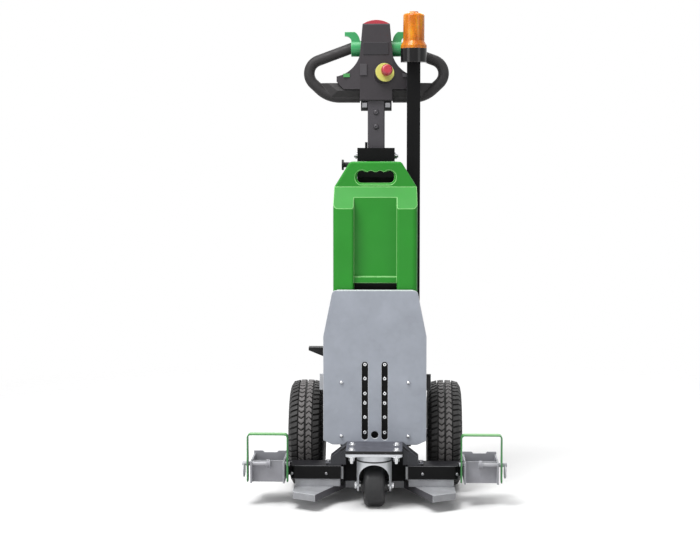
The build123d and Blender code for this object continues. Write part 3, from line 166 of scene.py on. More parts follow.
# Crossbars: their bolts and the blocks under them
FOOT_BOLT = (109.5 * MM, -113.5 * MM, 98.0 * MM)
BAR_BOLT_X = [offset * MM for offset in (114.0, 195.5)]
BAR_BOLT_R = 3.8 * MM
BAR_BOLT_HEIGHT = 73.0 * MM
PACKER_X = (81.0 * MM, 188.0 * MM)
PACKER_FRONT = 2.0 * MM
PACKER_DEPTH = 60.0 * MM

# Rear cover
COVER_BOLT_R = 4.5 * MM
COVER_BOLT_INSET = 13.0 * MM
COVER_BOLT_HEIGHTS = [height * MM for height in (100, 318, 536)]

# Tiller: the bolts of its tube and the blocks on its collar
TUBE_BOLT_R = 7.3 * MM
TUBE_BOLT_HEIGHTS = [height * MM for height in (929.5, 894.0)]
COLLAR_BLOCK = (13.0 * MM, 13.0 * MM, 5.0 * MM)
COLLAR_BLOCK_X = 28.5 * MM
COLLAR_BLOCK_HEIGHT = 947.5 * MM

# Wheel bolts: the face they sit on is measured from the rim's middle
WHEEL_BOLTS = 4
WHEEL_BOLT_CIRCLE = 38.0 * MM
WHEEL_BOLT_FACE = 3.5 * MM

# Nameplate on the tiller head, left blank
NAMEPLATE = (62.5 * MM, 31.0 * MM, 1.6 * MM)
NAMEPLATE_Z = 1085.5 * MM
HEAD_FRONT_Y = 92.5 * MM

# Flat blocks and plates
BLOCK_CHAMFER = 0.8 * MM

# The left button is green, the right one grey: two corners round the left one
LEFT_BUTTON = ((-120.0 * MM, 0.0, 1000.0 * MM), (-50.0 * MM, 200.0 * MM, 1040.0 * MM))

# The right side lug is black, the left one bare zinc: two corners round the right one
RIGHT_LUG = ((100.0 * MM, -200.0 * MM, 200.0 * MM), (180.0 * MM, 200.0 * MM, 400.0 * MM))

# The bare cut edge at the front of the side plates, as two corners
CUT_EDGE = ((-80.0 * MM, -117.0 * MM, 58.0 * MM), (80.0 * MM, -116.0 * MM, 88.0 * MM))

# The grey faces below the caster bracket's wings, as two corners
GUSSET_FACE = ((-110.0 * MM, -127.0 * MM, 92.0 * MM), (110.0 * MM, -124.8 * MM, 126.0 * MM))

# The inner ends of those faces, between the side plates and the caster: X and Z of one end's outline
GUSSET_END = [
    (67.5 * MM, 94.0 * MM),
    (79.0 * MM, 94.0 * MM),
    (79.0 * MM, 123.6 * MM),
    (67.5 * MM, 132.4 * MM),
]
GUSSET_END_Y = (-125.4 * MM, -120.0 * MM)

# The hollow at the battery's foot, painted near-black as shade, as two corners
FOOT_HOLLOW_SHADE = ((-51.6 * MM, -60.0 * MM, 415.0 * MM), (51.6 * MM, 45.0 * MM, 517.6 * MM))

# Masks and noises that the finishes share
BLACK = (0, 0, 0, 1)
WHITE = (1, 1, 1, 1)
NOISE_LOW = 0.3
NOISE_HIGH = 0.7
FLAT_COSINE = 0.995
EDGE_SAMPLES = 6
# Faces whose normal looks up between these shares get a painted top light
TOP_LIGHT_START_Z = 0.75
TOP_LIGHT_FULL_Z = 0.98
BAY_FACE_X = 0.92
BAY_FACE_SPAN = 0.06
SPANGLE_SCALE = 110.0
SPANGLE_LIGHT = 1.35
DIRT_SCALE = 0.4
DIRT_DETAIL = 6.0
DIRT_ROUGHNESS = 0.7
DIRT_START = 0.45
DIRT_FULL = 0.75
DIRT_SHADE = 0.45
GLOSS_SCALE = 2.5
GLOSS_DETAIL = 4.0
GRAIN_DETAIL = 2.0
GRAIN_HEIGHT = 1.0 * MM
COAT_ROUGHNESS = 0.16
# The near-black painted shade of the battery's foot hollow
HOLLOW_SHADE = (0.004, 0.006, 0.004, 1.0)

# Beacon lens
LENS_CLEAR = 0.35
LENS_IOR = 1.45
LENS_COAT = 0.1
LENS_SPECULAR = 0.3
# Upright light and dark amber stripes on the lens, painted reflections: scale, detail, stretch and colours
LENS_PATCH = 60.0
LENS_PATCH_DETAIL = 5.0
LENS_STRETCH = (1.0, 1.0, 0.3)
LENS_REFLECTION_AMBERS = [(0.34, (212, 112, 4)), (0.52, (242, 144, 4)), (0.68, (255, 184, 26))]
LENS_GLOSS_SCALE = 90.0
LENS_ROUGHNESS = (0.2, 0.3)
LENS_RIB_SCALE = 55.0
LENS_RIB_DEPTH = 0.25
LENS_RIB_HEIGHT = 0.6 * MM

# Shading breaks at edges sharper than this
SHARP_DEG = 40.0


# Materials

def srgb(red, green, blue):
    """A colour in 0 to 255 display values as linear RGBA."""
    channels = []
    for value in (red, green, blue):
        share = value / 255
        channels.append(share / 12.92 if share <= 0.04045 else ((share + 0.055) / 1.055) ** 2.4)
    return (*channels, 1.0)


def scaled(colour, factor):
    """A lighter or darker colour."""
    return (*(min(1.0, channel * factor) for channel in colour[:3]), 1.0)


def grey(level):
    """A grey as RGBA."""
    return (level, level, level, 1)


def add(tree, kind, **inputs):
    """A new shader node with its input values set by name, spaces written as underscores."""
    node = tree.nodes.new(kind)
    for name, value in inputs.items():
        node.inputs[name.replace("_", " ")].default_value = value
    return node


def ramp(tree, source, stops):
    """A colour ramp on source, with (place, colour) stops."""
    node = tree.nodes.new("ShaderNodeValToRGB")
    elements = node.color_ramp.elements
    while len(elements) < len(stops):
        elements.new(0.5)
    for element, (place, colour) in zip(elements, stops):
        element.position = place
        element.color = colour
    tree.links.new(source, node.inputs["Fac"])
    return node.outputs["Color"]


def noise(tree, coordinates, scale, detail=3.0, roughness=0.55):
    """A noise value at the coordinates."""
    node = add(tree, "ShaderNodeTexNoise", Scale=scale, Detail=detail, Roughness=roughness)
    tree.links.new(coordinates, node.inputs["Vector"])
    return node.outputs["Fac"]


def spread(tree, source, low, high):
    """Map a noise value's usual range onto low to high."""
    node = add(tree, "ShaderNodeMapRange", From_Min=NOISE_LOW, From_Max=NOISE_HIGH, To_Min=low, To_Max=high)
    tree.links.new(source, node.inputs["Value"])
    return node.outputs["Result"]


def mixed(tree, factor, first, second):
    """A colour between first and second, each a fixed colour or another node's output."""
    node = tree.nodes.new("ShaderNodeMix")
    node.data_type = "RGBA"
    tree.links.new(factor, node.inputs["Factor"])
    for value, name in ((first, "A"), (second, "B")):
        socket = next(s for s in node.inputs if s.name == name and s.type == "RGBA")
        if isinstance(value, tuple):
            socket.default_value = value
        else:
            tree.links.new(value, socket)
    return next(s for s in node.outputs if s.type == "RGBA")


def edge_highlight_mask(tree, soft_normal, keen):
    """Near 1 along edges, where the rounded normal leaves the face's own: the mask of the painted edge
    highlight; keen finds blunter ones.
    """
    geometry = tree.nodes.new("ShaderNodeNewGeometry")
    dot = tree.nodes.new("ShaderNodeVectorMath")
    dot.operation = "DOT_PRODUCT"
    tree.links.new(soft_normal, dot.inputs[0])
    tree.links.new(geometry.outputs["Normal"], dot.inputs[1])
    return ramp(tree, dot.outputs["Value"], [(keen, WHITE), (FLAT_COSINE, BLACK)])


def upward(tree):
    """Near 1 on faces that look up, where the painted top light goes."""
    geometry = tree.nodes.new("ShaderNodeNewGeometry")
    parts = tree.nodes.new("ShaderNodeSeparateXYZ")
    tree.links.new(geometry.outputs["Normal"], parts.inputs["Vector"])
    return ramp(tree, parts.outputs["Z"], [(TOP_LIGHT_START_Z, BLACK), (TOP_LIGHT_FULL_Z, WHITE)])


def near(tree, source, middle, reach):
    """1 where source lies within reach of middle, else 0."""
    node = tree.nodes.new("ShaderNodeMath")
    node.operation = "COMPARE"
    node.inputs[1].default_value = middle
    node.inputs[2].default_value = reach
    tree.links.new(source, node.inputs[0])
    return node.outputs["Value"]


def sideways(tree):
    """1 on the slanting cut faces inside the base plate's bay, which get a painted shade, else 0."""
    geometry = tree.nodes.new("ShaderNodeNewGeometry")
    parts = tree.nodes.new("ShaderNodeSeparateXYZ")
    tree.links.new(geometry.outputs["True Normal"], parts.inputs["Vector"])
    size = tree.nodes.new("ShaderNodeMath")
    size.operation = "ABSOLUTE"
    tree.links.new(parts.outputs["X"], size.inputs[0])
    return near(tree, size.outputs["Value"], BAY_FACE_X, BAY_FACE_SPAN)


def in_box(tree, place, low, high):
    """1 for places between the corners low and high, else 0."""
    parts = tree.nodes.new("ShaderNodeSeparateXYZ")
    tree.links.new(place, parts.inputs["Vector"])
    share = None
    for axis, start, end in zip("XYZ", low, high):
        inside = near(tree, parts.outputs[axis], (start + end) / 2, (end - start) / 2)
        if share is None:
            share = inside
            continue
        both = tree.nodes.new("ShaderNodeMath")
        both.operation = "MULTIPLY"
        tree.links.new(share, both.inputs[0])
        tree.links.new(inside, both.inputs[1])
        share = both.outputs["Value"]
    return share


def new_material(name):
    """An empty material with its node tree and its shader."""
    material = bpy.data.materials.new(name)
    material.use_nodes = True
    tree = material.node_tree
    return material, tree, tree.nodes["Principled BSDF"]


def finish(name, colour, shade=0.10, patch=18.0, roughness=(0.40, 0.55), metallic=0.0, grain=700.0,
           grain_depth=0.05, edge=None, edge_width=1.2, keen=0.80, spangle=0.0, dirt=0.0, split=None,
           coat=0.0, specular=0.5, painted_shade_box=None, painted_top_light=None, cut=None):
    """A procedural finish: patches of tone, uneven gloss, fine grain, softened edges with a painted highlight
    and partly wear, painted light on tops and painted shade in hollows and bay faces.
    """
    material, tree, shader = new_material(name)
    shader.inputs["Metallic"].default_value = metallic
    shader.inputs["Specular IOR Level"].default_value = specular
    shader.inputs["Coat Weight"].default_value = coat
    shader.inputs["Coat Roughness"].default_value = COAT_ROUGHNESS
    place = tree.nodes.new("ShaderNodeTexCoord").outputs["Object"]
    patches = noise(tree, place, patch)
    shades = [(NOISE_LOW, scaled(colour, 1 - shade)), (NOISE_HIGH, scaled(colour, 1 + shade))]
    tint = ramp(tree, patches, shades)
    if split is not None:
        low, high, split_colour = split
        tint = mixed(tree, in_box(tree, place, low, high), tint, split_colour)
    if spangle:
        cells = add(tree, "ShaderNodeTexVoronoi", Scale=SPANGLE_SCALE)
        tree.links.new(place, cells.inputs["Vector"])
        flakes = ramp(tree, cells.outputs["Color"], [(0.0, BLACK), (1.0, grey(spangle))])
        tint = mixed(tree, flakes, tint, scaled(colour, SPANGLE_LIGHT))
    if dirt:
        smudges = noise(tree, place, patch * DIRT_SCALE, detail=DIRT_DETAIL, roughness=DIRT_ROUGHNESS)
        stain = ramp(tree, smudges, [(DIRT_START, BLACK), (DIRT_FULL, grey(dirt))])
        tint = mixed(tree, stain, tint, scaled(colour, DIRT_SHADE))
    bevel = add(tree, "ShaderNodeBevel", Radius=edge_width * MM)
    bevel.samples = EDGE_SAMPLES
    # Lighter colour along edges: a painted highlight, partly wear on painted steel
    if edge is not None:
        tint = mixed(tree, edge_highlight_mask(tree, bevel.outputs["Normal"], keen), tint, edge)
    # The slanting faces of the base plate's bay take a darker colour: painted shade
    if cut is not None:
        tint = mixed(tree, sideways(tree), tint, cut)
    # Faces that look up take a lighter colour: painted top light and sheen
    if painted_top_light is not None:
        tint = mixed(tree, upward(tree), tint, painted_top_light)
    # The battery's foot hollow is painted near-black: painted shade
    if painted_shade_box is not None:
        tint = mixed(tree, in_box(tree, place, *painted_shade_box), tint, HOLLOW_SHADE)
    tree.links.new(tint, shader.inputs["Base Color"])
    gloss = noise(tree, place, patch * GLOSS_SCALE, detail=GLOSS_DETAIL)
    tree.links.new(spread(tree, gloss, *roughness), shader.inputs["Roughness"])
    bump = add(tree, "ShaderNodeBump", Strength=grain_depth, Distance=GRAIN_HEIGHT)
    tree.links.new(noise(tree, place, grain, detail=GRAIN_DETAIL), bump.inputs["Height"])
    tree.links.new(bevel.outputs["Normal"], bump.inputs["Normal"])
    tree.links.new(bump.outputs["Normal"], shader.inputs["Normal"])
    return material


def amber_lens(name):
    """Clear amber plastic with fine ribs, and upright light and dark amber stripes painted in as reflections.
    """
    material, tree, shader = new_material(name)
    shader.inputs["Transmission Weight"].default_value = LENS_CLEAR
    shader.inputs["IOR"].default_value = LENS_IOR
    shader.inputs["Coat Weight"].default_value = LENS_COAT
    shader.inputs["Specular IOR Level"].default_value = LENS_SPECULAR
    place = tree.nodes.new("ShaderNodeTexCoord").outputs["Object"]
    upright = tree.nodes.new("ShaderNodeVectorMath")
    upright.operation = "MULTIPLY"
    upright.inputs[1].default_value = LENS_STRETCH
    tree.links.new(place, upright.inputs[0])
    # Light and dark amber stripes: painted reflections
    streaks = noise(tree, upright.outputs["Vector"], LENS_PATCH, detail=LENS_PATCH_DETAIL)
    ambers = [(stop, srgb(*colour)) for stop, colour in LENS_REFLECTION_AMBERS]
    tree.links.new(ramp(tree, streaks, ambers), shader.inputs["Base Color"])
    gloss = noise(tree, place, LENS_GLOSS_SCALE)
    tree.links.new(spread(tree, gloss, *LENS_ROUGHNESS), shader.inputs["Roughness"])
    ribs = add(tree, "ShaderNodeTexWave", Scale=LENS_RIB_SCALE)
    tree.links.new(place, ribs.inputs["Vector"])
    bump = add(tree, "ShaderNodeBump", Strength=LENS_RIB_DEPTH, Distance=LENS_RIB_HEIGHT)
    tree.links.new(ribs.outputs["Fac"], bump.inputs["Height"])
    tree.links.new(bump.outputs["Normal"], shader.inputs["Normal"])
    return material


def zinc_finishes():
    """Galvanized and bright metal."""
    # A pale painted edge highlight shared by the zinc finishes
    pale_edge_highlight = srgb(225, 228, 232)
    return {
        # The plate's top faces are painted lighter: painted top light
        "galvanized_plate": finish(
            "zinc_plate", srgb(157, 162, 172), shade=0.11, patch=11.0, roughness=(0.42, 0.6), metallic=0.15,
            grain=350.0, edge=srgb(245, 246, 248), edge_width=2.0, spangle=0.16, painted_top_light=srgb(222, 225, 230)),
        "lug_steel": finish(
            "lug_steel", srgb(188, 190, 195), patch=30.0, roughness=(0.42, 0.6), metallic=0.25,
            edge=pale_edge_highlight, split=(*RIGHT_LUG, srgb(26, 26, 28))),
        # The bay's slanting faces are painted darker here as shade
        "galvanized_base": finish(
            "zinc_base", srgb(154, 155, 159), shade=0.2, patch=30.0, roughness=(0.5, 0.7), metallic=0.15,
            grain=420.0, grain_depth=0.15, edge=pale_edge_highlight, edge_width=2.8, spangle=0.2, dirt=0.25,
            cut=srgb(86, 85, 90)),
        "galvanized_clamp": finish(
            "zinc_clamp", srgb(148, 148, 154), patch=30.0, roughness=(0.42, 0.6), metallic=0.15,
            edge=pale_edge_highlight, spangle=0.12),
        "galvanized_caster": finish(
            "zinc_caster", srgb(204, 206, 210), shade=0.08, patch=35.0, roughness=(0.3, 0.45), metallic=0.4,
            edge=pale_edge_highlight, spangle=0.1),
        "bright_steel": finish(
            "bright_steel", srgb(205, 206, 208), shade=0.06, patch=60.0, roughness=(0.18, 0.32),
            metallic=0.9),
        "pin_steel": finish(
            "pin_steel", srgb(176, 176, 181), shade=0.06, patch=50.0, roughness=(0.34, 0.48), metallic=0.2,
            specular=0.4),
        "axle_steel": finish(
            "axle_steel", srgb(138, 138, 141), shade=0.08, patch=50.0, roughness=(0.25, 0.4), metallic=0.9),
        "rim_paint": finish(
            "rim_paint", srgb(196, 197, 199), shade=0.05, patch=30.0, roughness=(0.35, 0.5), metallic=0.2,
            edge=srgb(225, 225, 225), dirt=0.2),
        "reflector": finish(
            "reflector", srgb(236, 190, 90), patch=120.0, roughness=(0.1, 0.2), metallic=0.8),
    }


def painted_finishes():
    """Black and grey steel."""
    gusset_grey = srgb(50, 51, 55)
    return {
        # Lighter tops on black steel, bracket and bars are painted sheen
        "black_steel": finish(
            "black_steel", srgb(10, 10, 11), shade=0.15, patch=16.0, roughness=(0.42, 0.58), specular=0.12,
            edge=srgb(86, 86, 90), dirt=0.2, painted_top_light=srgb(34, 34, 37), split=(*CUT_EDGE, srgb(232, 233, 235))),
        "bracket_steel": finish(
            "bracket_steel", srgb(17, 17, 19), shade=0.12, patch=20.0, specular=0.3,
            edge=srgb(124, 124, 130), edge_width=2.0, painted_top_light=srgb(88, 89, 97),
            split=(*GUSSET_FACE, gusset_grey)),
        "gusset_grey": finish("gusset_grey", gusset_grey, shade=0.12, patch=20.0, specular=0.3),
        "bar_steel": finish(
            "bar_steel", srgb(12, 12, 13), shade=0.15, patch=16.0, roughness=(0.42, 0.58), specular=0.12,
            edge=srgb(158, 158, 162), edge_width=2.4, dirt=0.2, painted_top_light=srgb(36, 36, 39)),
        "rail_steel": finish(
            "rail_steel", srgb(4, 4, 5), shade=0.2, patch=30.0, roughness=(0.5, 0.65), specular=0.15,
            dirt=0.3),
        "grey_steel": finish(
            "grey_steel", srgb(60, 57, 62), shade=0.08, patch=20.0, roughness=(0.38, 0.52), metallic=0.1,
            edge=srgb(128, 126, 132), dirt=0.15),
        "drive_casting": finish(
            "drive_casting", srgb(70, 72, 75), shade=0.15, patch=25.0, roughness=(0.5, 0.7), metallic=0.3,
            grain=260.0, grain_depth=0.3, dirt=0.3),
    }


def rubber_finishes():
    """Tyres and caster."""
    return {
        "tyre_rubber": finish(
            "tyre_rubber", srgb(30, 29, 29), shade=0.18, patch=30.0, roughness=(0.6, 0.8), grain=600.0,
            grain_depth=0.2, dirt=0.2),
        # The tread rows take a lighter copy of the rubber, painted light, and the shoulder rows a darker
        # copy, painted shade
        "lit_tread_rubber": finish(
            "lit_tread_rubber", srgb(104, 101, 101), shade=0.16, patch=45.0, roughness=(0.55, 0.75),
            grain_depth=0.25, edge=srgb(118, 115, 114), edge_width=0.8),
        "shaded_shoulder_rubber": finish(
            "shaded_shoulder_rubber", srgb(42, 41, 41), shade=0.16, patch=45.0, roughness=(0.55, 0.75),
            grain_depth=0.25, edge=srgb(58, 57, 57), edge_width=0.8),
        "caster_rubber": finish(
            "caster_rubber", srgb(26, 26, 28), shade=0.15, patch=40.0, roughness=(0.4, 0.6), grain=500.0,
            grain_depth=0.15, dirt=0.2),
    }


def plastic_finishes():
    """Battery, tiller head, controls and beacon, and the paint of the hoops."""
    return {
        # The battery's pale edges are a painted highlight and its foot hollow painted shade
        "battery_green": finish(
            "battery_green", srgb(40, 142, 40), shade=0.06, patch=9.0, roughness=(0.36, 0.48), grain=900.0,
            edge=srgb(182, 250, 166), edge_width=2.6, keen=0.95, coat=0.09, specular=0.2,
            painted_shade_box=FOOT_HOLLOW_SHADE),
        # The bail's lighter top is painted top light
        "bail_green": finish(
            "bail_green", srgb(60, 128, 72), shade=0.07, patch=40.0, roughness=(0.36, 0.5),
            edge=srgb(112, 186, 104), dirt=0.1, painted_top_light=srgb(108, 172, 100)),
        "lever_green": finish(
            "lever_green", srgb(50, 154, 90), shade=0.06, patch=40.0, roughness=(0.3, 0.42), coat=0.1,
            edge=srgb(150, 230, 168), edge_width=1.6),
        "black_plastic": finish(
            "black_plastic", srgb(15, 15, 16), shade=0.12, patch=30.0, roughness=(0.45, 0.6), specular=0.3,
            grain=1200.0, grain_depth=0.12, edge=srgb(64, 64, 67)),
        "head_plastic": finish(
            "head_plastic", srgb(49, 45, 49), shade=0.07, patch=20.0, roughness=(0.48, 0.62), specular=0.4,
            grain=1500.0, grain_depth=0.15, edge=srgb(104, 101, 104), edge_width=1.6),
        "grip_plastic": finish(
            "grip_plastic", srgb(34, 32, 33), shade=0.08, patch=30.0, roughness=(0.5, 0.65), specular=0.4,
            grain=1500.0, grain_depth=0.2, edge=srgb(92, 90, 92), edge_width=1.6),
        "switch_red": finish(
            "switch_red", srgb(176, 34, 54), shade=0.06, patch=50.0, roughness=(0.22, 0.34), coat=0.5,
            edge=srgb(240, 140, 140)),
        "estop_yellow": finish(
            "estop_yellow", srgb(208, 208, 108), shade=0.05, patch=60.0, roughness=(0.35, 0.5),
            edge=srgb(240, 238, 150)),
        "button_grey": finish(
            "button_grey", srgb(64, 61, 65), shade=0.06, patch=60.0, split=(*LEFT_BUTTON, srgb(70, 150, 80))),
        "beacon_amber": amber_lens("beacon_amber"),
        "beacon_black": finish(
            "beacon_black", srgb(10, 9, 11), patch=60.0, roughness=(0.12, 0.2), coat=0.2, specular=0.2,
            edge=srgb(150, 140, 140), edge_width=0.9),
        "nameplate": finish(
            "nameplate", srgb(40, 38, 42), shade=0.02, patch=20.0, roughness=(0.34, 0.38), specular=0.4,
            grain_depth=0.01, edge=srgb(96, 94, 97), edge_width=0.6),
    }


# Meshes

def facing(point, direction):
    """A place at point whose Z axis points along direction."""
    turn = Vector(direction).to_track_quat("Z", "Y").to_matrix().to_4x4()
    return Matrix.Translation(Vector(point)) @ turn


class Shape:
    """Collects turned and drawn forms into one mesh."""

    def __init__(self):
        self.mesh = bmesh.new()

    def ring(self, place, radius, height, count):
        """Points on a circle about the place's Z axis."""
        points = []
        for step in range(count):
            angle = 2 * math.pi * step / count
            point = Vector((radius * math.cos(angle), radius * math.sin(angle), height))
            points.append(self.mesh.verts.new(place @ point))
        return points

    def join(self, low, high, material):
        """A band of faces between two rings of as many points."""
        count = len(low)
        for step in range(count):
            ahead = (step + 1) % count
            face = self.mesh.faces.new((low[step], low[ahead], high[ahead], high[step]))
            face.material_index = material

    def close(self, rings, material):
        """The bands between all rings, and the two ends."""
        for low, high in zip(rings, rings[1:]):
            self.join(low, high, material)
        self.mesh.faces.new(list(reversed(rings[0]))).material_index = material
        self.mesh.faces.new(rings[-1]).material_index = material

    def turned(self, place, profile, count):
        """Turn (radius, height) points about the place's Z axis and close both ends."""
        self.close([self.ring(place, radius, height, count) for radius, height in profile], 0)

    def hollow(self, place, profile, count):
        """Turn a closed outline of (radius, height) points about the place's Z axis."""
        rings = [self.ring(place, radius, height, count) for radius, height in profile]
        for low, high in zip(rings, rings[1:] + rings[:1]):
            self.join(low, high, 0)

    def stack(self, outlines, material=0):
        """Close the space between several outlines of as many points each."""
        self.close([[self.mesh.verts.new(point) for point in outline] for outline in outlines], material)

    def made(self, name, body, materials):
        """The finished piece, riding on its body and in its material slot."""
        bmesh.ops.recalc_face_normals(self.mesh, faces=self.mesh.faces)
        for face in self.mesh.faces:
            face.smooth = True
        data = bpy.data.meshes.new(name)
        self.mesh.to_mesh(data)
        self.mesh.free()
        data.set_sharp_from_angle(angle=math.radians(SHARP_DEG))
        for material in materials:
            data.materials.append(material)
        piece = bpy.data.objects.new(name, data)
        bpy.context.scene.collection.objects.link(piece)
        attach(piece, body)
        return piece


def capped(radius, low, high, edge):
    """The profile of a short post from low to high; edge gives its top's shares of radius and height."""
    edge_r, edge_height = edge
    return [(radius, low), (radius, edge_height * high), (edge_r * radius, high)]


def washer(shape, place, flats):
    """A washer under a head or nut; returns its thickness."""
    seat = WASHER_T * flats
    shape.turned(place, capped(WASHER_R * flats, 0.0, seat, WASHER_EDGE), WASHER_SIDES)
    return seat


def hex_bolt(shape, point, direction, flats, washed=True):
    """A hexagon head, on a washer or bare, seated at point and pointing along direction."""
    place = facing(point, direction)
    seat = washer(shape, place, flats) if washed else 0.0
    shape.turned(place, capped(flats / math.sqrt(3), seat, seat + HEAD_RISE * flats, HEAD_EDGE), HEX_SIDES)


def lock_nut(shape, point, direction, flats):
    """A tall nut on its washer with the bolt's end standing out of it."""
    place = facing(point, direction)
    seat = washer(shape, place, flats)
    top = seat + NUT_RISE * flats
    end = top + BOLT_END_RISE * flats
    shape.turned(place, capped(flats / math.sqrt(3), seat, top, NUT_EDGE), HEX_SIDES)
    shape.turned(place, capped(BOLT_END_R * flats, top, end, BOLT_END_EDGE), BOLT_END_SIDES)


def button_bolt(shape, point, direction, radius, rise=DOME_RISE):
    """A domed head with a socket."""
    height = rise * radius
    profile = []
    for step in range(DOME_STEPS + 1):
        angle = math.radians(DOME_STEP_DEG * step)
        profile.append((radius * math.cos(angle), height * math.sin(angle)))
    profile.append((SOCKET_R * radius, SOCKET_FLOOR * height))
    shape.turned(facing(point, direction), profile, DOME_SIDES)


def chamfered_plate(shape, point, size):
    """A flat block seated at point with its face to the front, chamfered all round that face."""
    width, height, depth = size
    rings = []
    for out, inset in ((0.0, 0.0), (depth - BLOCK_CHAMFER, 0.0), (depth, BLOCK_CHAMFER)):
        ring = []
        for x, z in ((-1, -1), (1, -1), (1, 1), (-1, 1)):
            corner = (x * (width / 2 - inset), -out, z * (height / 2 - inset))
            ring.append(Vector(point) + Vector(corner))
        rings.append(ring)
    shape.stack(rings)


def bush(shape, point, direction):
    """A flanged bush with an open hole."""
    profile = [(BUSH_HOLE_R, 0.0)] + capped(BUSH_R, 0.0, BUSH_PROUD, BUSH_EDGE) + [(BUSH_HOLE_R, BUSH_PROUD)]
    shape.hollow(facing(point, direction), profile, BUSH_SIDES)


# Tyres with their tread

def crown(tyre_r, across):
    """The tread's outer radius at a distance across the tyre from its middle."""
    return tyre_r - CROWN_SQUARE * across ** 2 - CROWN_FOURTH * across ** 4


def wheel_point(centre, across, radius, angle):
    """A point on the wheel, its angle counted from the front upwards."""
    along = radius * math.cos(angle)
    rise = radius * math.sin(angle)
    return Vector((centre.x + across, centre.y - along, centre.z + rise))


def tread_block(shape, centre, tyre_r, section, lean, middle, half, material):
    """One block: section lists (across, top radius, foot radius), lean shifts its points along the tread."""
    rings = []
    for sign in (-1, 1):
        top_edge = sign * (half - TREAD_DRAFT)
        foot_edge = sign * (half + TREAD_DRAFT)
        ring = []
        for across, top, _ in section:
            ring.append(wheel_point(centre, across, top, middle + (lean(across) + top_edge) / tyre_r))
        for across, _, foot in reversed(section):
            ring.append(wheel_point(centre, across, foot, middle + (lean(across) + foot_edge) / tyre_r))
        rings.append(ring)
    shape.stack(rings, material)


def tread_section(tyre_r, side, places):
    """Points of a block's section at the places across the tyre."""
    section = []
    for across in places:
        top = crown(tyre_r, across)
        section.append((side * across, top, top - TREAD_DEPTH - TREAD_SUNK))
    return section


def tread_rows(tyre_r):
    """The four rows as (section, lean, phase, material); the tread reads the same turned half round."""
    inner, outer = MID_ROW
    peak = (inner + outer) / 2
    start, end = SHOULDER_ROW
    foot_across, foot_r = SHOULDER_FOOT
    rows = []
    for side in (-1, 1):
        def chevron(across, side=side):
            return side * MID_CHEVRON * (1 - abs(abs(across) - peak) / (outer - peak))

        def slant(across, side=side):
            return SHOULDER_SLANT * (across - side * start) / (foot_across - start)

        middle = tread_section(tyre_r, side, (inner, peak, outer))
        shoulder = tread_section(tyre_r, side, (start, end))
        shoulder.append((side * foot_across, foot_r, foot_r - TREAD_DEPTH))
        # Middle rows use the lit rubber copy, shoulder rows the shaded one: painted light and shade
        rows.append((middle, chevron, MID_PHASE * side, 1))
        rows.append((shoulder, slant, 0.0, 2))
    return rows


def tyre(side, materials):
    """A tyre's carcass with its tread blocks, in place of the plain one."""
    node = "tyre_" + side
    low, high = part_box(node)
    rim_low, rim_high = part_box("rim_" + side)
    centre = (low + high) / 2
    tyre_r = (high.z - low.z) / 2
    half_w = (high.x - low.x) / 2
    bead_r = (rim_high.z - rim_low.z) / 2
    half_profile = []
    for share in GROOVE_SHARES:
        half_profile.append((share * half_w, crown(tyre_r, share * half_w) - TREAD_DEPTH))
    for width_share, radius_share in WALL_SHARES:
        half_profile.append((width_share * half_w, radius_share * tyre_r))
    half_profile.append((BEAD_SHARE * half_w, bead_r + BEAD_FIT))
    mirrored = [(-across, radius) for across, radius in reversed(half_profile[1:])]
    profile = [(radius, across) for across, radius in mirrored + half_profile]
    shape = Shape()
    shape.hollow(facing(centre, (1, 0, 0)), profile, CARCASS_SEGMENTS)
    pitch = 2 * math.pi / TREAD_ROUND
    half = (pitch * tyre_r - TREAD_GROOVE) / 2
    for section, lean, phase, material in tread_rows(tyre_r):
        for step in range(TREAD_ROUND):
            tread_block(shape, centre, tyre_r, section, lean, (step + phase) * pitch, half, material)
    piece = shape.made("tread_" + node, "wheel_" + side, materials)
    bevel = piece.modifiers.new("block_edges", "BEVEL")
    bevel.width = BLOCK_EDGE
    bevel.segments = BLOCK_EDGE_STEPS
    bevel.limit_method = "ANGLE"
    bevel.angle_limit = math.radians(BLOCK_EDGE_DEG)
    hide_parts(node)


# Bolts, bushes and small blocks

def chassis_bolts(finishes):
    """The bolts and bushes of front plate, caster bracket and crossbars."""
    plate_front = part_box("front_plate")[0].y
    rail_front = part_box("hitch_rails")[0].y
    bracket_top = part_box("caster_bracket")[1].z
    caster_low, caster_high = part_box("caster_plate")
    caster_y = (caster_low.y + caster_high.y) / 2
    plate_under = caster_high.z - CASTER_PLATE_T
    bar_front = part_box("crossbars")[0].y
    foot_x, foot_y, foot_z = FOOT_BOLT
    toward = (0, -1, 0)
    up = (0, 0, 1)
    down = (0, 0, -1)
    bolts = Shape()
    bushes = Shape()
    dull = Shape()
    for side in (-1, 1):
        for height in PLATE_BOLT_HEIGHTS:
            spot = (side * PLATE_BOLT_X, plate_front, height)
            button_bolt(bolts, spot, toward, PLATE_BOLT_R, rise=PLATE_BOLT_RISE)
        for height in BUSH_HEIGHTS:
            bush(bushes, (side * SLOT_X, rail_front, height), toward)
        hex_bolt(dull, (side * foot_x, foot_y, foot_z), up, FOOT_BOLT_FLATS, washed=False)
        for offset in BAR_BOLT_X:
            button_bolt(dull, (side * offset, bar_front, BAR_BOLT_HEIGHT), toward, BAR_BOLT_R)
        for reach in (-BRACKET_BOLT_REACH, BRACKET_BOLT_REACH):
            spot = (side * BRACKET_BOLT_X, caster_y + reach)
            hex_bolt(bolts, (*spot, bracket_top), up, M6_FLATS)
            lock_nut(bolts, (*spot, plate_under), down, M8_FLATS)
    bolts.made("chassis_bolts", "chassis", [finishes["bright_steel"]])
    bushes.made("coupling_bushes", "chassis", [finishes["bright_steel"]])
    dull.made("crossbar_bolts", "chassis", [finishes["axle_steel"]])


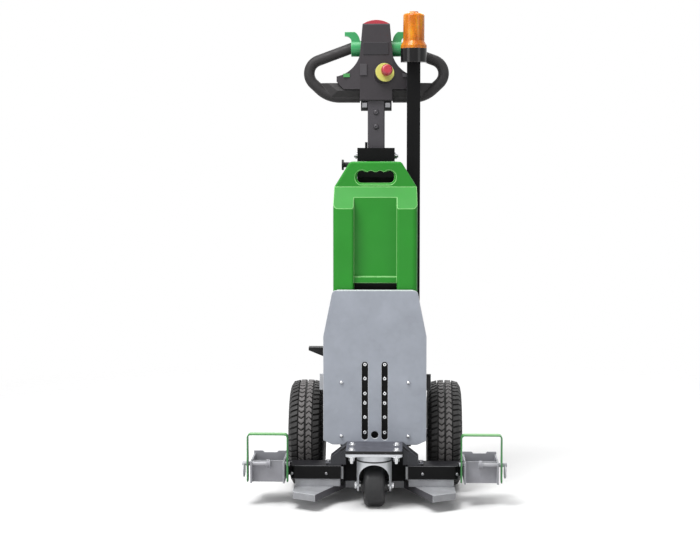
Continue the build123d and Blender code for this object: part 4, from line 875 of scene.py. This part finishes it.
def cover_bolts(finishes):
    """The screws that hold the rear cover on the mast."""
    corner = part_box("rear_cover")[1]
    shape = Shape()
    for side in (-1, 1):
        for height in COVER_BOLT_HEIGHTS:
            spot = (side * (corner.x - COVER_BOLT_INSET), corner.y, height)
            button_bolt(shape, spot, (0, 1, 0), COVER_BOLT_R)
    shape.made("cover_bolts", "chassis", [finishes["grey_steel"]])


def caster_seal(finishes):
    """The dark seal between the caster's fork and its race."""
    low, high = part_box("caster_plate")
    edge_r = SEAL_EDGE[0] * SEAL_R
    edge_h = SEAL_EDGE[1] * SEAL_H
    profile = [
        (SEAL_INNER_R, 0.0),
        (edge_r, 0.0),
        (SEAL_R, edge_h),
        (SEAL_R, SEAL_H - edge_h),
        (edge_r, SEAL_H),
        (SEAL_INNER_R, SEAL_H),
    ]
    shape = Shape()
    shape.hollow(facing((0.0, (low.y + high.y) / 2, SEAL_Z), (0, 0, 1)), profile, SEAL_SIDES)
    shape.made("caster_seal", "caster_yoke", [finishes["caster_rubber"]])


def gusset_ends(finishes):
    """The inner ends of the faces below the bracket's wings."""
    shape = Shape()
    for side in (-1, 1):
        shape.stack([[(side * x, y, z) for x, z in GUSSET_END] for y in GUSSET_END_Y])
    shape.made("gusset_ends", "chassis", [finishes["gusset_grey"]])


def packers(finishes):
    """Zinc blocks that carry the crossbars on the base plate."""
    bar_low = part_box("crossbars")[0]
    base_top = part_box("base_plate")[1].z
    height = bar_low.z - base_top
    start, end = PACKER_X
    back = bar_low.y + PACKER_FRONT + PACKER_DEPTH
    shape = Shape()
    for side in (-1, 1):
        seat = (side * (start + end) / 2, back, base_top + height / 2)
        chamfered_plate(shape, seat, (end - start, height, PACKER_DEPTH))
    shape.made("crossbar_packers", "chassis", [finishes["galvanized_base"]])


def tiller_bolts(finishes):
    """The bolts on the tiller's tube and the two blocks on its collar."""
    collar_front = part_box("tiller_collar")[0].y
    tube_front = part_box("tiller_tube")[0].y
    heads = Shape()
    for height in TUBE_BOLT_HEIGHTS:
        button_bolt(heads, (0.0, tube_front, height), (0, -1, 0), TUBE_BOLT_R)
    heads.made("tube_bolts", "tiller", [finishes["grey_steel"]])
    blocks = Shape()
    for side in (-1, 1):
        chamfered_plate(blocks, (side * COLLAR_BLOCK_X, collar_front, COLLAR_BLOCK_HEIGHT), COLLAR_BLOCK)
    blocks.made("collar_blocks", "tiller", [finishes["axle_steel"]])


def wheel_bolts(side, finishes):
    """The bolts that hold a wheel on its hub."""
    low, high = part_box("rim_" + side)
    centre = (low + high) / 2
    out = 1 if side == "right" else -1
    face = centre.x + out * WHEEL_BOLT_FACE
    shape = Shape()
    for step in range(WHEEL_BOLTS):
        angle = 2 * math.pi * (step + 0.5) / WHEEL_BOLTS
        along = WHEEL_BOLT_CIRCLE * math.cos(angle)
        rise = WHEEL_BOLT_CIRCLE * math.sin(angle)
        hex_bolt(shape, (face, centre.y + along, centre.z + rise), (out, 0, 0), M8_FLATS)
    shape.made("wheel_bolts_" + side, "wheel_" + side, [finishes["bright_steel"]])


def nameplate(finishes):
    """The blank plate on the tiller head."""
    shape = Shape()
    chamfered_plate(shape, (0.0, HEAD_FRONT_Y, NAMEPLATE_Z), NAMEPLATE)
    shape.made("nameplate", "tiller", [finishes["nameplate"]])


# Floor, light and camera

def background_rays(tree):
    """1 for rays that show the background: from the camera, in reflections and through glass."""
    paths = tree.nodes.new("ShaderNodeLightPath")
    share = paths.outputs["Is Camera Ray"]
    for name in ("Is Glossy Ray", "Is Transmission Ray"):
        either = tree.nodes.new("ShaderNodeMath")
        either.operation = "MAXIMUM"
        tree.links.new(share, either.inputs[0])
        tree.links.new(paths.outputs[name], either.inputs[1])
        share = either.outputs["Value"]
    return share


def make_floor():
    """A pale floor that fades into the white surroundings."""
    data = bpy.data.meshes.new("floor")
    corners = [(-1, -1), (1, -1), (1, 1), (-1, 1)]
    data.from_pydata([(x * FLOOR_HALF, y * FLOOR_HALF, 0.0) for x, y in corners], [], [(0, 1, 2, 3)])
    floor = bpy.data.objects.new("floor", data)
    bpy.context.scene.collection.objects.link(floor)
    material, tree, shader = new_material("floor")
    seen = mixed(tree, background_rays(tree), grey(FLOOR_BOUNCE), grey(FLOOR_PALE))
    tree.links.new(seen, shader.inputs["Base Color"])
    shader.inputs["Roughness"].default_value = FLOOR_ROUGHNESS
    shader.inputs["Specular IOR Level"].default_value = FLOOR_SPECULAR
    place = tree.nodes.new("ShaderNodeTexCoord").outputs["Object"]
    length = tree.nodes.new("ShaderNodeVectorMath")
    length.operation = "LENGTH"
    tree.links.new(place, length.inputs[0])
    fade = add(tree, "ShaderNodeMapRange", From_Min=FLOOR_FADE_START, From_Max=FLOOR_FADE_END,
               To_Min=1.0, To_Max=0.0)
    tree.links.new(length.outputs["Value"], fade.inputs["Value"])
    tree.links.new(fade.outputs["Result"], shader.inputs["Alpha"])
    data.materials.append(material)


def make_world():
    """White to the camera and in reflections, softer as a light."""
    world = bpy.data.worlds.new("studio")
    world.use_nodes = True
    bpy.context.scene.world = world
    tree = world.node_tree
    background = tree.nodes["Background"]
    background.inputs["Color"].default_value = WHITE
    strength = add(tree, "ShaderNodeMapRange", To_Min=AMBIENT, To_Max=1.0)
    tree.links.new(background_rays(tree), strength.inputs["Value"])
    tree.links.new(strength.outputs["Result"], background.inputs["Strength"])


def make_lights():
    """The soft boxes of the studio."""
    for name, at, target, size, power in LIGHTS:
        data = bpy.data.lights.new(name, "AREA")
        data.shape = "RECTANGLE"
        data.size, data.size_y = size
        data.energy = power
        light = bpy.data.objects.new(name, data)
        light.location = at
        light.rotation_mode = "QUATERNION"
        light.rotation_quaternion = (Vector(target) - Vector(at)).to_track_quat("-Z", "Y")
        bpy.context.scene.collection.objects.link(light)


def make_camera():
    """The photograph's camera."""
    data = bpy.data.cameras.new("camera")
    data.lens = CAMERA_LENS
    data.sensor_width = CAMERA_SENSOR
    camera = bpy.data.objects.new("camera", data)
    camera.location = CAMERA_AT
    camera.rotation_euler = (math.radians(90 - CAMERA_DOWN_DEG), 0.0, math.radians(CAMERA_TURN_DEG))
    bpy.context.scene.collection.objects.link(camera)
    bpy.context.scene.camera = camera


# The whole scene: nodes that look unlike the rest of their slot have a finish of their own
OWN_FINISH = {
    "caster_bracket": "bracket_steel",
    "crossbars": "bar_steel",
    "hitch_rails": "rail_steel",
    "side_lugs": "lug_steel",
    "beacon_base": "beacon_black",
    "clamp_pins": "pin_steel",
}

bpy.context.scene.view_settings.view_transform = "Standard"
finishes = {**zinc_finishes(), **painted_finishes(), **rubber_finishes(), **plastic_finishes()}
for subpart in frame["record"]["subparts"]:
    cad_node = frame["nodes"][subpart["node"]]
    cad_node.data.materials.clear()
    cad_node.data.materials.append(finishes[OWN_FINISH.get(subpart["node"], subpart["material_slot"])])
for side in ("left", "right"):
    tyre(side, [finishes[name] for name in ("tyre_rubber", "lit_tread_rubber", "shaded_shoulder_rubber")])
    wheel_bolts(side, finishes)
chassis_bolts(finishes)
cover_bolts(finishes)
packers(finishes)
gusset_ends(finishes)
caster_seal(finishes)
tiller_bolts(finishes)
nameplate(finishes)
make_floor()
make_world()
make_lights()
make_camera()
